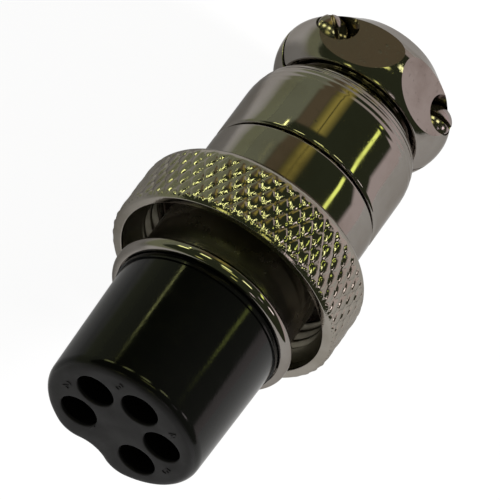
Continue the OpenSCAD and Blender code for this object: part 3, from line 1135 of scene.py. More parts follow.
@dataclass
class CouplingRing:
    """Knurled ring with a turned mouth ahead of its thread.

    Attributes:
        front_x: Station of the front face.
        rear_x: Station of the rear face.
        outer_r: Radius over the knurl.
        front_bevel: Bevel of the front edge.
        rear_round: Rounding of the rear edge.
        round_spans: Faces across the rear rounding.
        edge: Rounding of the front face's edges and of the rear bore's edge.
        mouth_r: Radius of the mouth.
        mouth_len: Depth of the mouth.
        mouth_lip: Depth of the plain lip ahead of the turning marks.
        mouth_rows: Points along the mouth.
        bore_r: Radius of the plain bore that the thread is cut in.
        groove_x: Station of the retaining ring's groove.
        groove_end: Station of the groove's rear wall.
        groove_r: Radius of the groove.
        knurl_count: Diamonds round the knurl.
        knurl_angle: Angle of the knurl's grooves from the axis in degrees.
        knurl_depth: Depth of the knurl's grooves.
        knurl_margin: How much deeper than the grooves the plain outside is at the knurl's ends.
        groove_half: Half width of a knurl groove, as a share of the distance between grooves.
        land_spans: Faces across a diamond between two grooves.
        land_crown: How far a diamond falls from its middle to the middle of its sides.
        crown_limit: Largest fall of a diamond, as a share of the grooves' depth.
        corner_pull: Distance from the bevel's corner within which points are drawn to it.
        spare_periods: Rows of diamonds past the band, which are drawn to its ends.
        least_len: Length along the axis under which a face is left out.
        thread_pitch: Pitch of the thread.
        thread_depth: Depth of the thread.
        thread_rows: Points along the thread.
        thread_start: Share of the mouth's step behind which the thread starts to deepen.
        thread_end: Length over which the thread runs out at the groove.
        flank_gain: Height of the thread's wave before its crests and roots are cut flat.
        flank_drop: How far the wave is lowered before the cut.
        mark_pitch: Distance between the turning marks in the mouth.
        mark_depth: Depth of the turning marks.
        columns: Faces round the ring, apart from the knurl.
        sharp_deg: Smallest angle of an edge that stays sharp outside.
        inner_sharp_deg: Smallest angle of an edge that stays sharp inside.
    """

    front_x: float = 14.3
    rear_x: float = 20.1
    outer_r: float = 9.3
    front_bevel: float = 0.3
    rear_round: float = 1.6
    round_spans: int = 20
    edge: float = 0.1
    mouth_r: float = 8.4
    mouth_len: float = 0.9
    mouth_lip: float = 0.2
    mouth_rows: int = 30
    bore_r: float = 7.6
    groove_x: float = 18.65
    groove_end: float = 19.45
    groove_r: float = 8.1
    knurl_count: int = 48
    knurl_angle: float = 32.0
    knurl_depth: float = 0.13
    knurl_margin: float = 0.03
    groove_half: float = 0.15
    land_spans: int = 6
    land_crown: float = 0.03
    crown_limit: float = 0.8
    corner_pull: float = 0.09
    spare_periods: int = 3
    least_len: float = 1e-6
    thread_pitch: float = 1.0
    thread_depth: float = 0.42
    thread_rows: int = 46
    thread_start: float = 0.4
    thread_end: float = 0.2
    flank_gain: float = 1.3
    flank_drop: float = 0.15
    mark_pitch: float = 0.28
    mark_depth: float = 0.035
    columns: int = 288
    sharp_deg: float = 60.0
    inner_sharp_deg: float = 50.0

    def outline_r(self, x: np.ndarray) -> np.ndarray:
        """Radius of the plain outside: front bevel, cylinder and rear rounding.

        Args:
            x: Stations.

        Returns:
            Radii.
        """
        bevelled = self.outer_r - np.maximum(self.front_x + self.front_bevel - x, 0.0)
        past = np.clip(x - (self.rear_x - self.rear_round), 0.0, self.rear_round)
        rounded = self.outer_r - self.rear_round + np.sqrt(self.rear_round**2 - past**2)
        return np.minimum(bevelled, rounded)

    def knurl_ends(self) -> Pair:
        """Find where the knurl ends: the plain outside is deeper there than the grooves.

        Returns:
            Front and rear station.
        """
        low = self.front_x + self.front_bevel - self.knurl_depth - self.knurl_margin
        drop = self.knurl_depth + self.knurl_margin
        past = math.sqrt(self.rear_round**2 - (self.rear_round - drop) ** 2)
        return low, self.rear_x - self.rear_round + past

    def add_knurl(self, surface: Surface) -> None:
        """Add the knurled band as a lattice whose lines run along the grooves.

        The coordinates s and t count the grooves of the two sets. Their sum turns round the axis and their
        difference moves along it, so a groove is a line of constant s or t, and the samples lie on its
        bottom and on both of its edges. Each diamond is crowned: it falls with the square of the distance
        from its middle. Points outside the band are drawn to its ends, and points near the bevel's corner
        are drawn to the corner.

        Args:
            surface: The surface to add to.
        """
        land = np.linspace(0.5 + self.groove_half, 1.5 - self.groove_half, self.land_spans + 1)
        pattern = np.concatenate([[0.5], land])
        size = len(pattern)
        rows = self.knurl_count * size
        half_pitch = math.pi * self.outer_r / self.knurl_count
        row_len = half_pitch / math.tan(math.radians(self.knurl_angle))
        low, high = self.knurl_ends()
        periods = math.ceil((high - self.front_x) / row_len) + self.spare_periods
        columns = periods * size
        first = np.arange(rows)[:, None] * np.ones((1, columns), dtype=int)
        second = first + size - np.arange(columns)[None, :]
        s = first // size + pattern[first % size]
        t = second // size + pattern[second % size]
        x = np.clip(self.front_x - row_len + (s - t) * row_len, low, high)
        corner = self.front_x + self.front_bevel
        x = np.where(np.abs(x - corner) < self.corner_pull, corner, x)
        from_s = np.abs(s % 1.0 - 0.5)
        from_t = np.abs(t % 1.0 - 0.5)
        groove = self.knurl_depth * np.clip(1.0 - np.minimum(from_s, from_t) / self.groove_half, 0.0, 1.0)
        half_land = 0.5 - self.groove_half
        off_middle = np.minimum((0.5 - from_s) / half_land, 1.0)**2
        off_middle = off_middle + np.minimum((0.5 - from_t) / half_land, 1.0)**2
        crown = np.minimum(self.land_crown * off_middle, self.crown_limit * self.knurl_depth)
        radius = np.minimum(self.outline_r(x), self.outer_r - np.maximum(groove, crown))
        points = turned_points(x, radius, (s + t) * math.pi / self.knurl_count)
        row = np.arange(rows)[:, None]
        column = np.arange(1, columns - 1)[None, :]
        after = (row + 1) % rows
        quads = np.stack(np.broadcast_arrays(
            row * columns + column,
            after * columns + column + 1,
            after * columns + column,
            row * columns + column - 1,
        ), axis=-1).reshape(-1, 4)
        station = x.reshape(-1)[quads]
        length = station.max(axis=1) - station.min(axis=1)
        surface.add(points.reshape(-1, 3), quads[length > self.least_len])

    def build(self) -> bpy.types.Object:
        """Make the ring's outside: the knurled band, the front with its bevel, and the rear with the groove.

        Returns:
            The ring.
        """
        low, high = self.knurl_ends()
        start = math.degrees(math.acos((high - self.rear_x + self.rear_round) / self.rear_round))
        front = rounded_profile([
            Corner(low, float(self.outline_r(np.array(low)))),
            Corner(self.front_x, self.outer_r - self.front_bevel, self.edge),
            Corner(self.front_x, self.mouth_r, self.edge),
            Corner(self.front_x + self.mouth_lip, self.mouth_r),
        ])
        round_centre = (self.rear_x - self.rear_round, self.outer_r - self.rear_round)
        rear_round = arc_profile(round_centre, self.rear_round, start, 0.0, self.round_spans)
        rear = rounded_profile([
            Corner(self.rear_x, self.outer_r - self.rear_round),
            Corner(self.rear_x, self.bore_r, self.edge),
            Corner(self.groove_end, self.bore_r),
            Corner(self.groove_end, self.groove_r),
            Corner(self.groove_x, self.groove_r),
            Corner(self.groove_x, self.bore_r),
        ])[1:]
        surface = Surface()
        self.add_knurl(surface)
        surface.add_turned(front, self.columns, closed=False)
        surface.add_turned(np.concatenate([rear_round, rear]), self.columns, closed=False)
        made = surface.to_object("knurled_ring")
        smooth_shading(made, self.sharp_deg)
        return made

    def build_thread(self) -> bpy.types.Object:
        """Make the ring's inside: the turned mouth, a lead-in and a right-handed thread.

        The thread is a triangle wave of the distance along the helix, with flattened crests and roots.

        Returns:
            The inside.
        """
        step = self.mouth_r - self.bore_r
        lead_x = self.front_x + self.mouth_len
        thread_x = np.linspace(lead_x + step, self.groove_x, self.thread_rows)
        mouth_x = np.linspace(self.front_x + self.mouth_lip, lead_x, self.mouth_rows)
        turned = 0.5 - 0.5 * np.cos(FULL_TURN * (mouth_x - mouth_x[0]) / self.mark_pitch)
        plain_r = np.concatenate([
            self.mouth_r + self.mark_depth * turned,
            np.full_like(thread_x, self.bore_r),
        ])[:, None]
        x = np.concatenate([mouth_x, thread_x])[:, None]
        angle = full_circle(self.columns)[None, :]
        phase = (x / self.thread_pitch + angle / FULL_TURN) % 1.0
        wave = np.clip(self.flank_gain * np.abs(2.0 * phase - 1.0) - self.flank_drop, 0.0, 1.0)
        grow = np.clip((x - lead_x - self.thread_start * step) / step, 0.0, 1.0)
        fade = np.clip((self.groove_x - x) / self.thread_end, 0.0, 1.0)
        surface = Surface()
        surface.add_grid(turned_points(x, plain_r + self.thread_depth * wave * grow * fade, angle))
        made = surface.to_object("ring_thread")
        smooth_shading(made, self.inner_sharp_deg)
        return made

    def make(self, finishes: Finishes) -> None:
        """Build the ring's outside and inside and dress them."""
        dress(self.build(), finishes.ring, Body.RING, Slot.NICKEL, "coupling_ring")
        dress(self.build_thread(), finishes.mouth, Body.RING, Slot.NICKEL)


@dataclass
class RearShell:
    """Turned rear shell: barrel, rounded shoulder with turned rings, gland neck and end flange.

    Attributes:
        front_x: Station of the front edge.
        barrel_r: Radius of the barrel.
        edge_r: Rounding of the front edge.
        shoulder_x: Station where the shoulder starts.
        shoulder_len: Length of the shoulder.
        shoulder_drop: Drop of the shoulder.
        ring_count: Turned rings on the shoulder.
        ring_depth: Depth of the turned rings.
        ring_spans: Faces across a turned ring.
        ring_fade: Turn of the shoulder over which the rings reach their depth, in radians.
        gland_r: Radius of the gland neck.
        gland_root: Rounding between the shoulder and the gland neck.
        flange_x: Station of the flange.
        flange_end: Station of the flange's rear face.
        flange_r: Radius of the flange.
        flange_root: Rounding between the gland neck and the flange.
        flange_edge: Rounding of the flange's edges.
        passage_r: Radius of the cable passage.
        passage_edge: Rounding of the passage's rear edge.
        passage_bend: Rounding where the passage widens.
        cavity_r: Radius of the solder space.
        cavity_end: Station of the solder space's end.
        cavity_bend: Rounding at the solder space's end.
        thread_r: Radius of the threaded bore.
        thread_end: Station of the threaded bore's end.
        thread_edge: Rounding of the threaded bore's edge.
        sharp_deg: Smallest angle of an edge that stays sharp.
    """

    front_x: float = 24.7
    barrel_r: float = 6.92
    edge_r: float = 0.24
    shoulder_x: float = 29.1
    shoulder_len: float = 3.0
    shoulder_drop: float = 1.5
    ring_count: int = 8
    ring_depth: float = 0.035
    ring_spans: int = 12
    ring_fade: float = 0.45
    gland_r: float = 5.0
    gland_root: float = 0.12
    flange_x: float = 33.5
    flange_end: float = 34.0
    flange_r: float = 5.35
    flange_root: float = 0.1
    flange_edge: float = 0.12
    passage_r: float = 3.6
    passage_edge: float = 0.2
    passage_bend: float = 0.3
    cavity_r: float = 5.79
    cavity_end: float = 28.7
    cavity_bend: float = 0.2
    thread_r: float = 6.29
    thread_end: float = 28.3
    thread_edge: float = 0.05
    sharp_deg: float = 38.0

    def profile(self) -> np.ndarray:
        """Closed section: the shoulder is a quarter ellipse with turned rings from a cosine wave.

        Returns:
            Points of shape (n, 2), each x and r.
        """
        turn = np.linspace(0.0, QUARTER_TURN, self.ring_spans * self.ring_count + 1)
        wave = 0.5 * self.ring_depth * (1.0 - np.cos(4.0 * self.ring_count * turn))
        wave = wave * np.clip(turn / self.ring_fade, 0.0, 1.0)
        shoulder = np.stack([
            self.shoulder_x + (self.shoulder_len - wave) * np.sin(turn),
            self.barrel_r - self.shoulder_drop + (self.shoulder_drop - wave) * np.cos(turn),
        ], axis=1)
        gland_x = self.shoulder_x + self.shoulder_len
        passage_x = self.cavity_end + self.cavity_r - self.passage_r
        front = rounded_profile([
            Corner(self.front_x, self.thread_r, self.thread_edge),
            Corner(self.front_x, self.barrel_r, self.edge_r),
            Corner(self.shoulder_x, self.barrel_r),
        ])[:-1]
        rear = rounded_profile([
            Corner(gland_x, self.barrel_r - self.shoulder_drop),
            Corner(gland_x, self.gland_r, self.gland_root),
            Corner(self.flange_x, self.gland_r, self.flange_root),
            Corner(self.flange_x, self.flange_r, self.flange_edge),
            Corner(self.flange_end, self.flange_r, self.flange_edge),
            Corner(self.flange_end, self.passage_r, self.passage_edge),
            Corner(passage_x, self.passage_r, self.passage_bend),
            Corner(self.cavity_end, self.cavity_r, self.cavity_bend),
            Corner(self.thread_end, self.cavity_r),
            Corner(self.thread_end, self.thread_r),
            Corner(self.front_x, self.thread_r),
        ])[1:-1]
        return np.concatenate([front, shoulder, rear])

    def build(self) -> bpy.types.Object:
        """Make the shell.

        Returns:
            The shell.
        """
        made = turned_object("nickel_rear_shell", self.profile())
        smooth_shading(made, self.sharp_deg)
        return made

    def make(self, finishes: Finishes) -> None:
        """Build the shell and dress it."""
        dress(self.build(), finishes.nickel, Body.CONNECTOR, Slot.NICKEL, "rear_shell")


class ClampHalf(Enum):
    """The two halves of the cable clamp, by the side of the parting plane that they are on."""

    SADDLE = 1.0
    BASE = -1.0


@dataclass
class CableClamp:
    """Round cable clamp that is parted along its middle and held by two screws.

    Attributes:
        front_x: Station of the front face.
        bulge_x: Station of the widest place.
        end_x: Station of the end face.
        end_edge: Rounding of the end face's edge.
        crown_r: Radius at the widest place.
        face_r: Radius of the front face.
        face_edge: Rounding of the front face's edge.
        front_spans: Faces across the front's rounding.
        front_skip: Faces of the front's rounding that the front face's edge takes up.
        rear_round: Rounding from the widest place towards the end.
        rear_spans: Faces across the rear rounding.
        rear_slope: Slope of the rear side in degrees.
        flat_deg: Angle of the saddle's two flats from level in degrees.
        flat_h: Distance of the flats from the axis.
        flat_block: Length, width and height of the block that cuts a flat.
        hook_r: Radius of the bore that hooks behind the flange.
        hook_end: Station of the hook's rear wall.
        hook_edge: Rounding of the hook's inner edge.
        room_r: Radius of the flange's room.
        room_end: Station of the room's end.
        room_edge: Rounding of the edges and corners inside, apart from those named.
        chamber_r: Radius of the cable room.
        chamber_bend: Rounding at the cable room's end.
        grip_x: Station where the gripping bore starts.
        grip_r: Radius of the gripping bore.
        grip_edge: Rounding of the gripping bore's edge.
        gap: Gap between the halves.
        screw_x: Station of the screws.
        screw_y: Distance of the screws from the middle.
        shank_hole_r: Radius of the shanks' holes in the saddle.
        thread_hole_r: Radius of the threaded holes in the base.
        thread_floor: Height of the threaded holes' floor.
        head_room_r: Radius of the heads' recesses.
        seat_h: Height of the heads' seats.
        overcut: How far a hole's cutter goes past the parting plane.
        edge: Rounding of the halves' edges.
        edge_deg: Edges that turn by more than this are rounded.
        longest_face: Longest face along the section.
        sweep_spans: Faces round a half.
    """

    front_x: float = 32.6
    bulge_x: float = 35.2
    end_x: float = 38.55
    end_edge: float = 0.3
    crown_r: float = 7.14
    face_r: float = 6.0
    face_edge: float = 0.3
    front_spans: int = 30
    front_skip: int = 3
    rear_round: float = 2.0
    rear_spans: int = 20
    rear_slope: float = 45.0
    flat_deg: float = 30.0
    flat_h: float = 6.27
    flat_block: Triple = (20.0, 20.0, 5.0)
    hook_r: float = 5.1
    hook_end: float = 33.4
    hook_edge: float = 0.08
    room_r: float = 5.45
    room_end: float = 34.1
    room_edge: float = 0.1
    chamber_r: float = 3.69
    chamber_bend: float = 0.2
    grip_x: float = 36.95
    grip_r: float = 2.9
    grip_edge: float = 0.35
    gap: float = 0.4
    screw_x: float = 35.6
    screw_y: float = 5.09
    shank_hole_r: float = 0.9
    thread_hole_r: float = 0.84
    thread_floor: float = -3.1
    head_room_r: float = 1.37
    seat_h: float = 2.5
    overcut: float = 1.0
    edge: float = 0.13
    edge_deg: float = 16.0
    longest_face: float = 0.5
    sweep_spans: int = 96

    def profile(self) -> np.ndarray:
        """Closed section: rounded front, widest place, rounded edge, cone to the end and rooms inside.

        The front's rounding is the circle through the front face's edge that is level at the widest place.

        Returns:
            Points of shape (n, 2), each x and r.
        """
        rise = self.crown_r - self.face_r
        run = self.bulge_x - self.front_x
        front_round = (run**2 + rise**2) / (2.0 * rise)
        open_deg = math.degrees(math.asin(run / front_round))
        front_centre = (self.bulge_x, self.crown_r - front_round)
        front = arc_profile(front_centre, front_round, 90.0 + open_deg, 90.0, self.front_spans)
        front = front[self.front_skip:]
        rear_centre = (self.bulge_x, self.crown_r - self.rear_round)
        rear = arc_profile(rear_centre, self.rear_round, 90.0, 90.0 - self.rear_slope, self.rear_spans)
        fall = (self.end_x - rear[-1, 0]) * math.tan(math.radians(self.rear_slope))
        inside = rounded_profile([
            Corner(float(rear[-1, 0]), float(rear[-1, 1])),
            Corner(self.end_x, float(rear[-1, 1] - fall), self.end_edge),
            Corner(self.end_x, self.grip_r, self.grip_edge),
            Corner(self.grip_x, self.grip_r, self.room_edge),
            Corner(self.grip_x, self.chamber_r, self.chamber_bend),
            Corner(self.room_end, self.chamber_r, self.room_edge),
            Corner(self.room_end, self.room_r, self.room_edge),
            Corner(self.hook_end, self.room_r, self.room_edge),
            Corner(self.hook_end, self.hook_r, self.hook_edge),
            Corner(self.front_x, self.hook_r, self.room_edge),
            Corner(self.front_x, self.face_r, self.face_edge),
            Corner(float(front[0, 0]), float(front[0, 1])),
        ])[1:-1]
        return np.concatenate([front, rear[1:], inside])

    def shell(self, half: ClampHalf, name: str) -> bpy.types.Object:
        """Make one half before its holes.

        Every point of the section sweeps half a turn, from the parting plane to the parting plane: the sweep
        of a point at radius r starts at the angle whose sine is half the gap over r. Two flat ends close the
        half.

        Args:
            half: Which half.
            name: Name of the piece.

        Returns:
            The half.
        """
        profile = dense_profile(self.profile(), self.longest_face)
        sweep = np.linspace(0.0, 1.0, self.sweep_spans + 1)[None, :]
        start = np.arcsin(0.5 * self.gap / profile[:, 1:])
        angle = start + (math.pi - 2.0 * start) * sweep
        y = profile[:, 1:] * np.cos(angle)
        z = half.value * profile[:, 1:] * np.sin(angle)
        x = np.broadcast_to(profile[:, :1], y.shape)
        first_ends = np.arange(len(profile)) * y.shape[1]
        surface = Surface()
        surface.add_grid(np.stack([x, y, z], axis=-1), rows_closed=True, columns_closed=False)
        surface.faces.append(first_ends.tolist())
        surface.faces.append((first_ends + self.sweep_spans).tolist())
        return surface.to_object(name)

    def build(self, half: ClampHalf, name: str) -> bpy.types.Object:
        """Make one half with its holes and rounded edges.

        Args:
            half: Which half.
            name: Name of the piece.

        Returns:
            The half.
        """
        made = self.shell(half, name)
        above = 2.0 * self.crown_r
        tilt = math.radians(self.flat_deg)
        along = Vector((1.0, 0.0, 0.0))
        cutters = []
        for side in (-1.0, 1.0):
            place = (self.screw_x, side * self.screw_y)
            if half is ClampHalf.SADDLE:
                out = Vector((0.0, side * math.sin(tilt), math.cos(tilt)))
                floor = Vector((self.bulge_x, 0.0, 0.0)) + out * self.flat_h
                cutters += [
                    block_cutter(f"flat_{side}", floor, along, out, Vector(self.flat_block)),
                    rod_cutter(f"shank_hole_{side}", place, self.shank_hole_r, -self.overcut, above),
                    rod_cutter(f"head_room_{side}", place, self.head_room_r, self.seat_h, above),
                ]
            else:
                ends = (self.thread_floor, self.overcut)
                cutters.append(rod_cutter(f"thread_hole_{side}", place, self.thread_hole_r, *ends))
        cut(made, cutters)
        soften_edges(made, self.edge, self.edge_deg)
        return made

    def make(self, finishes: Finishes) -> None:
        """Build both halves and dress them.

        Args:
            finishes: Finishes of the part.
        """
        saddle = self.build(ClampHalf.SADDLE, "clamp_saddle_plate")
        dress(saddle, finishes.clamp, Body.SADDLE, Slot.NICKEL, "clamp_saddle")
        base = self.build(ClampHalf.BASE, "clamp_base_plate")
        dress(base, finishes.clamp, Body.CONNECTOR, Slot.NICKEL, "clamp_base")


class ScrewSide(Enum):
    """The two clamp screws, each with its piece, body and CAD node."""

    LEFT = ("slotted_screw_left", Body.SCREW_LEFT, "clamp_screw_left")
    RIGHT = ("slotted_screw_right", Body.SCREW_RIGHT, "clamp_screw_right")


@dataclass
class ClampScrew:
    """Round-headed slotted clamp screw.

    Attributes:
        side: Which screw it is.
        place: x and y of the screw's axis.
        slot_deg: Turn of its slot.
        seat_h: Height under the head.
        shank_r: Radius of the shank.
        shank_len: Length of the shank.
        shank_rows: Points along the shank's thread.
        tip_bevel: Bevel of the shank's tip.
        neck_len: Length of the plain neck under the head.
        neck_inset: How much slimmer the neck is than the shank.
        head_r: Radius of the head.
        head_bevel: Bevel of the head's lower edge.
        side_h: Height of the head's straight side.
        side_gap: Height left for the rounding between the side and the dome.
        dome_h: Height of the head's dome.
        dome_spans: Faces across the dome.
        slot_w: Width of the slot.
        slot_depth: Depth of the slot.
        slot_reach: Length of the slot's cutter, in radii of the head.
        slot_above: Height of the slot's cutter.
        thread_pitch: Pitch of the shank's thread.
        thread_depth: Depth of the shank's thread.
        columns: Faces round the screw.
        near_axis: Radius that stands for a point on the screw's axis.
        edge: Rounding of the head's edges.
        edge_deg: Edges that turn by more than this are rounded.
        edge_spans: Faces across the rounding.
    """

    side: ScrewSide
    place: Pair
    slot_deg: float
    seat_h: float = 2.5
    shank_r: float = 0.8
    shank_len: float = 5.3
    shank_rows: int = 120
    tip_bevel: float = 0.25
    neck_len: float = 0.1
    neck_inset: float = 0.05
    head_r: float = 1.25
    head_bevel: float = 0.08
    side_h: float = 0.8
    side_gap: float = 0.06
    dome_h: float = 0.5
    dome_spans: int = 13
    slot_w: float = 0.36
    slot_depth: float = 0.65
    slot_reach: float = 4.0
    slot_above: float = 2.0
    thread_pitch: float = 0.35
    thread_depth: float = 0.07
    columns: int = 64
    near_axis: float = 1e-4
    edge: float = 0.05
    edge_deg: float = 50.0
    edge_spans: int = 2

    def profile(self) -> np.ndarray:
        """Section from the tip to the top of the dome, with the thread as rings.

        Returns:
            Points of shape (n, 2), each a radius and a height over the seat.
        """
        ball = (self.head_r**2 + self.dome_h**2) / (2.0 * self.dome_h)
        turn = np.linspace(math.asin(self.head_r / ball), 0.0, self.dome_spans + 1)
        dome_h = self.side_h + self.dome_h - ball + ball * np.cos(turn)
        dome = np.stack([np.maximum(ball * np.sin(turn), self.near_axis), dome_h], axis=1)
        shank_h = np.linspace(-self.shank_len + self.tip_bevel, -self.neck_len, self.shank_rows)
        ridge = self.thread_depth * np.abs(2.0 * ((shank_h / self.thread_pitch) % 1.0) - 1.0)
        tip = np.array([
            [self.near_axis, -self.shank_len],
            [self.shank_r - self.tip_bevel, -self.shank_len],
        ])
        head = np.array([
            [self.shank_r - self.neck_inset, 0.0],
            [self.head_r - self.head_bevel, 0.0],
            [self.head_r, self.head_bevel],
            [self.head_r, self.side_h - self.side_gap],
        ])
        return np.concatenate([tip, np.stack([self.shank_r - ridge, shank_h], axis=1), head, dome])

    def build(self, name: str) -> bpy.types.Object:
        """Make the screw: a turned head with a rounded edge, a shank with thread rings and a cut slot.

        Args:
            name: Name of the piece.

        Returns:
            The screw.
        """
        profile = self.profile()
        angle = full_circle(self.columns)[None, :]
        x = self.place[0] + profile[:, :1] * np.cos(angle)
        y = self.place[1] + profile[:, :1] * np.sin(angle)
        z = np.broadcast_to(self.seat_h + profile[:, 1:], x.shape)
        surface = Surface()
        surface.add_capped(np.stack([x, y, z], axis=-1))
        made = surface.to_object(name)
        floor = Vector((*self.place, self.seat_h + self.side_h + self.dome_h - self.slot_depth))
        turn = math.radians(self.slot_deg)
        along = Vector((math.cos(turn), math.sin(turn), 0.0))
        size = Vector((self.slot_reach * self.head_r, self.slot_w, self.slot_above))
        cut(made, [block_cutter("slot", floor, along, Vector((0.0, 0.0, 1.0)), size)])
        soften_edges(made, self.edge, self.edge_deg, self.edge_spans)
        return made

    def make(self, finishes: Finishes) -> None:
        """Build the screw and dress it."""
        name, body, node = self.side.value
        dress(self.build(name), finishes.steel, body, Slot.STEEL, node)


@dataclass(frozen=True)
class Lamp:
    """A long lamp on the canopy, level with the part's axis.

    Attributes:
        turn_deg: Angle about the axis from the top towards +Y, in degrees.
        half_deg: Half width of the angle.
        soft_deg: Half width of the soft edge.
        reach: Cosine between the axis and the lamp's middle.
        half_reach: Half of the lamp's length, in the same measure.
        colour: Light of the lamp.
        soft_reach: Half width of the soft ends, in the same measure.
    """

    turn_deg: float
    half_deg: float
    soft_deg: float
    reach: float
    half_reach: float
    colour: Colour
    soft_reach: float = 0.01


# Small lamps that share their soft edge and their place along the axis: angle, half width and colour
GLINT_SOFT_DEG = 1.0
GLINT_REACH = 0.18
GLINT_HALF_REACH = 0.08
PALE_GLINT: Colour = (3.4, 3.6, 1.5)
GLINTS = (
    (66.0, 6.0, PALE_GLINT),
    (40.0, 6.0, PALE_GLINT),
    (15.0, 6.0, PALE_GLINT),
    (-12.0, 6.0, (3.2, 3.3, 1.6)),
    (-50.0, 5.0, (2.6, 2.3, 2.3)),
)
GREENISH: Colour = (1.9, 1.95, 0.6)
LAMPS = [
    Lamp(44.5, 9.5, 3.0, 0.71, 0.2, (0.17, 0.135, 0.08)),
    Lamp(24.0, 8.0, 5.0, 0.71, 0.2, (0.5, 0.42, 0.1)),
    Lamp(24.2, 0.6, 0.4, 0.71, 0.2, (0.05, 0.05, 0.02)),
    Lamp(-35.3, 2.3, 0.8, 0.52, 0.1, (2.1, 2.4, 0.55)),
    Lamp(62.0, 0.9, 0.6, 0.45, 0.05, (6.0, 6.3, 2.4)),
    Lamp(10.0, 9.0, 2.0, -0.17, 0.06, GREENISH),
    Lamp(-33.0, 4.0, 1.0, -0.166, 0.03, (1.8, 1.6, 1.7)),
    Lamp(56.8, 5.0, 1.0, -0.797, 0.03, GREENISH),
    Lamp(0.2, 5.0, 1.0, -0.847, 0.03, GREENISH),
    Lamp(-33.4, 5.0, 1.0, -0.812, 0.03, (1.9, 1.65, 1.7)),
    *[
        Lamp(turn_deg, half_deg, GLINT_SOFT_DEG, GLINT_REACH, GLINT_HALF_REACH, colour)
        for turn_deg, half_deg, colour in GLINTS
    ],
]


